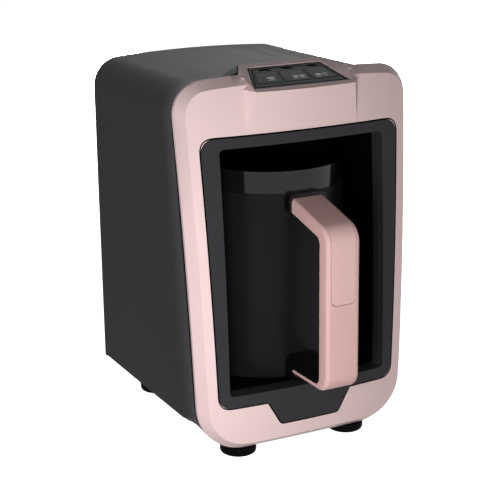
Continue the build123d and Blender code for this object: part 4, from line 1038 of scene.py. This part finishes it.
    def build(self) -> None:
        """Builds the panel, the keys and what is printed on them."""
        self.shop.soften("control_panel", Finish.PANEL, "panel_black", edge=0.15)
        keys = {"small_brew_button": Body.SMALL, "large_brew_button": Body.LARGE,
                "slow_brew_button": Body.SLOW}
        for node, body in keys.items():
            self.shop.soften(node, Finish.KEY, "key_black", body, edge=0.0)
        self.icons()
        self.gasket_and_groove_shade()
        self.crescents()
        self.shop.keep("tact_switches", Finish.PART)


@dataclass
class Pot:
    """The lift-out pot: turned body and base, collar, handle, brackets and screws.

    The base's ring is four insets from its edge, between which it steps up and down.
    """

    shop: Workshop
    centre: Spot = BAY_CENTRE
    radius: float = 53.4
    wall: float = 1.2
    bottom: float = 50.2
    shoulder: float = 179.4
    rim: float = 193.5
    neck_radius: float = 51.4
    mouth_radius: float = 50.2
    mouth_foot: float = 176.6
    taper_foot: float = 174.6
    foot_cuts: tuple[float, float] = (2.0, 2.4)
    base_radius: float = 50.0
    base_bottom: float = 49.3
    ring_insets: tuple[float, float, float, float] = (12.0, 11.0, 8.0, 7.0)
    ring_depth: float = 0.3
    screw_y: tuple[float, float] = (-11.0, -21.0)
    screw_seat: float = 58.4
    screw: Screw = Screw(head_height=1.3, shank_length=5.5)

    def body(self) -> None:
        """The turned body: outside, shoulder and neck, then the inside back down."""
        inside, floor = self.radius - self.wall, self.bottom + self.wall
        outer_cut, inner_cut = self.foot_cuts
        rows = [(0, self.bottom, 0), (self.radius, self.bottom, outer_cut),
                (self.radius, self.shoulder, 0.4), (self.neck_radius, self.shoulder, 0.2),
                (self.neck_radius, self.rim, 0.3), (self.mouth_radius, self.rim, 0.3),
                (self.mouth_radius, self.mouth_foot, 0.6), (inside, self.taper_foot, 0.6),
                (inside, floor, inner_cut), (0, floor, 0)]
        piece = skin("pot_turned", [turned(rounded(rows, steps=7), self.centre, LARGE_ROUND)])
        self.shop.place(piece, Finish.POT, "pot_coating", Body.POT, "pot_body")

    def base(self) -> None:
        """The turned disc under the pot, with a shallow ring pressed into it."""
        r, low = self.base_radius, self.base_bottom
        levels = (low, low + self.ring_depth, low + self.ring_depth, low)
        ring = [(r - inset, z, 0.3) for inset, z in zip(self.ring_insets, levels)]
        rows = [(0, low, 0), *ring, (r, low, 0.4), (r, self.bottom, 0), (0, self.bottom, 0)]
        piece = skin("pot_base_turned", [turned(rounded(rows), self.centre, ROUND)])
        self.shop.place(piece, Finish.BRACKET, "pot_black", Body.POT, "pot_base")

    def screws(self) -> None:
        """The two screws under the handle's foot."""
        grids = [self.screw.grid((0, FRONT_Y + y, self.screw_seat), (0, 0, -1))
                 for y in self.screw_y]
        self.shop.place(skin("handle_screw_heads", grids), Finish.ZINC, "screw_steel", Body.POT,
                        "handle_screws")

    def build(self) -> None:
        """Builds the whole pot."""
        self.body()
        self.base()
        soften = self.shop.soften
        soften("pot_collar", Finish.COLLAR, "collar_black", Body.POT, edge=0.2)
        soften("handle_shell", Finish.HANDLE, "frame_pink", Body.POT, edge=0.7)
        soften("handle_inlay", Finish.INLAY, "inlay_plastic", Body.POT, edge=0.2)
        soften("handle_bracket_top", Finish.BRACKET, "pot_black", Body.POT, edge=0.3)
        soften("handle_bracket_bottom", Finish.BRACKET, "pot_black", Body.POT, edge=0.5)
        self.screws()


@dataclass
class Electrics:
    """Boards and parts inside the housing, which stay as the CAD has them."""

    shop: Workshop
    finishes: tuple[tuple[str, Finish], ...] = (
        ("control_board", Finish.BOARD),
        ("power_board", Finish.BOARD),
        ("buzzer", Finish.PART),
        ("power_parts", Finish.PART),
        ("terminal_block", Finish.TERMINAL),
    )

    def build(self) -> None:
        """Dresses each of them."""
        for node, finish in self.finishes:
            self.shop.keep(node, finish)


# ------------------------------------------------------------------ camera, light and floor
@dataclass(frozen=True)
class Lamp:
    """One soft box: its place, size and aim in metres and its power in watts."""

    name: str
    place: tuple[float, float, float]
    size: tuple[float, float]
    power: float
    aim: tuple[float, float, float] = (0.0, 0.0, 0.13)

    def hang(self) -> None:
        """Makes the light, which neither the camera nor a reflection shows."""
        data = bpy.data.lights.new(self.name, "AREA")
        data.shape = "RECTANGLE"
        data.size, data.size_y = self.size
        data.energy = self.power
        light = bpy.data.objects.new(self.name, data)
        light.visible_camera = False
        light.visible_transmission = False
        light.visible_glossy = False
        bpy.context.scene.collection.objects.link(light)
        facing = (Vector(self.aim) - Vector(self.place)).to_track_quat("-Z", "Y")
        light.matrix_world = Matrix.Translation(Vector(self.place)) @ facing.to_matrix().to_4x4()


@dataclass(frozen=True)
class Studio:
    """The camera, the soft boxes, the world and the pale floor.

    The camera's angles are in degrees, its eye, lens and sensor in millimetres and the
    floor's half side in metres. The floor has one tone to the camera and a duller one in
    the light that it throws back on the machine.
    """

    azimuth: float = -29.24
    elevation: float = 17.31
    roll: float = 0.53
    eye: tuple[float, float, float] = (-514.8, FRONT_Y - 839.1, 448.1)
    lens: float = 112.47
    sensor: float = 36.0
    ambient: float = 0.10
    floor_half: float = 4.0
    floor_tone: Colour = (2.8, 2.8, 2.8, 1.0)
    floor_bounce: Colour = (0.25, 0.25, 0.25, 1.0)
    floor_glow: float = 0.75
    lamps: tuple[Lamp, ...] = (
        Lamp("near_left_strip", (-0.24, -0.37, 0.13), (0.10, 0.22), 1.40),
        Lamp("front_box", (-0.10, -1.40, 0.13), (0.6, 0.6), 2.8),
        Lamp("rear_box", (0.40, 1.40, 0.20), (0.8, 0.6), 14.0),
        Lamp("right_box", (1.40, 0.50, 0.20), (0.6, 0.6), 7.0),
    )

    def camera(self) -> None:
        """Places the camera: its back axis from azimuth and elevation, then the roll."""
        a, e, r = (math.radians(v) for v in (self.azimuth, self.elevation, self.roll))
        back = Vector((math.sin(a) * math.cos(e), -math.cos(a) * math.cos(e), math.sin(e)))
        right = Vector((0, 0, 1)).cross(back).normalized()
        up = back.cross(right)
        turned_right = right * math.cos(r) + up * math.sin(r)
        turned_up = up * math.cos(r) - right * math.sin(r)
        data = bpy.data.cameras.new("view")
        data.lens = self.lens
        data.sensor_width = self.sensor
        camera = bpy.data.objects.new("view", data)
        bpy.context.scene.collection.objects.link(camera)
        rotation = Matrix((turned_right, turned_up, back)).transposed().to_4x4()
        camera.matrix_world = Matrix.Translation(Vector(self.eye) * MM) @ rotation
        bpy.context.scene.camera = camera

    def world(self) -> None:
        """White to the camera and in reflections, and a weak even light elsewhere."""
        world = bpy.data.worlds.new("studio")
        bpy.context.scene.world = world
        g = Graph(world)
        strength = g.seen(*SHOWN) * (1.0 - self.ambient) + self.ambient
        sky = g.add("ShaderNodeBackground", None, {"Color": WHITE, "Strength": strength})
        g.add("ShaderNodeOutputWorld", None, {"Surface": sky.outputs[0]})

    def floor(self) -> None:
        """A pale floor that shows white and keeps the machine's shadow."""
        half = self.floor_half
        mesh = bpy.data.meshes.new("floor")
        corners = np.array([(-1, -1, 0), (1, -1, 0), (1, 1, 0), (-1, 1, 0)], float) * half
        mesh.from_pydata(corners.tolist(), [], [(0, 1, 2, 3)])
        piece = bpy.data.objects.new("floor", mesh)
        bpy.context.scene.collection.objects.link(piece)
        g = Graph(bpy.data.materials.new("pale_floor"))
        tone = g.blend(g.seen(CAMERA_RAY), self.floor_bounce, self.floor_tone)
        diffuse = g.add("ShaderNodeBsdfDiffuse", None, {"Color": tone})
        strength = g.seen(*SHOWN) * self.floor_glow
        glow = g.add("ShaderNodeEmission", None, {"Color": WHITE, "Strength": strength})
        both = g.add("ShaderNodeAddShader", None, {0: diffuse.outputs[0], 1: glow.outputs[0]})
        g.add("ShaderNodeOutputMaterial", None, {"Surface": both.outputs[0]})
        mesh.materials.append(g.owner)

    def build(self) -> None:
        """Builds the whole studio with the plain view transform."""
        bpy.context.scene.view_settings.view_transform = "Standard"
        self.camera()
        for lamp in self.lamps:
            lamp.hang()
        self.world()
        self.floor()


def main() -> None:
    """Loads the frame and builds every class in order."""
    logging.basicConfig(level=logging.INFO, format="%(name)s: %(message)s")
    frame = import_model()
    Studio().build()
    shop = Workshop(frame)
    for assembly in (Housing(shop), Bay(shop), Console(shop), Pot(shop), Electrics(shop)):
        assembly.build()
        LOG.info("finished %s", type(assembly).__name__)


if __name__ == "__main__":
    main()
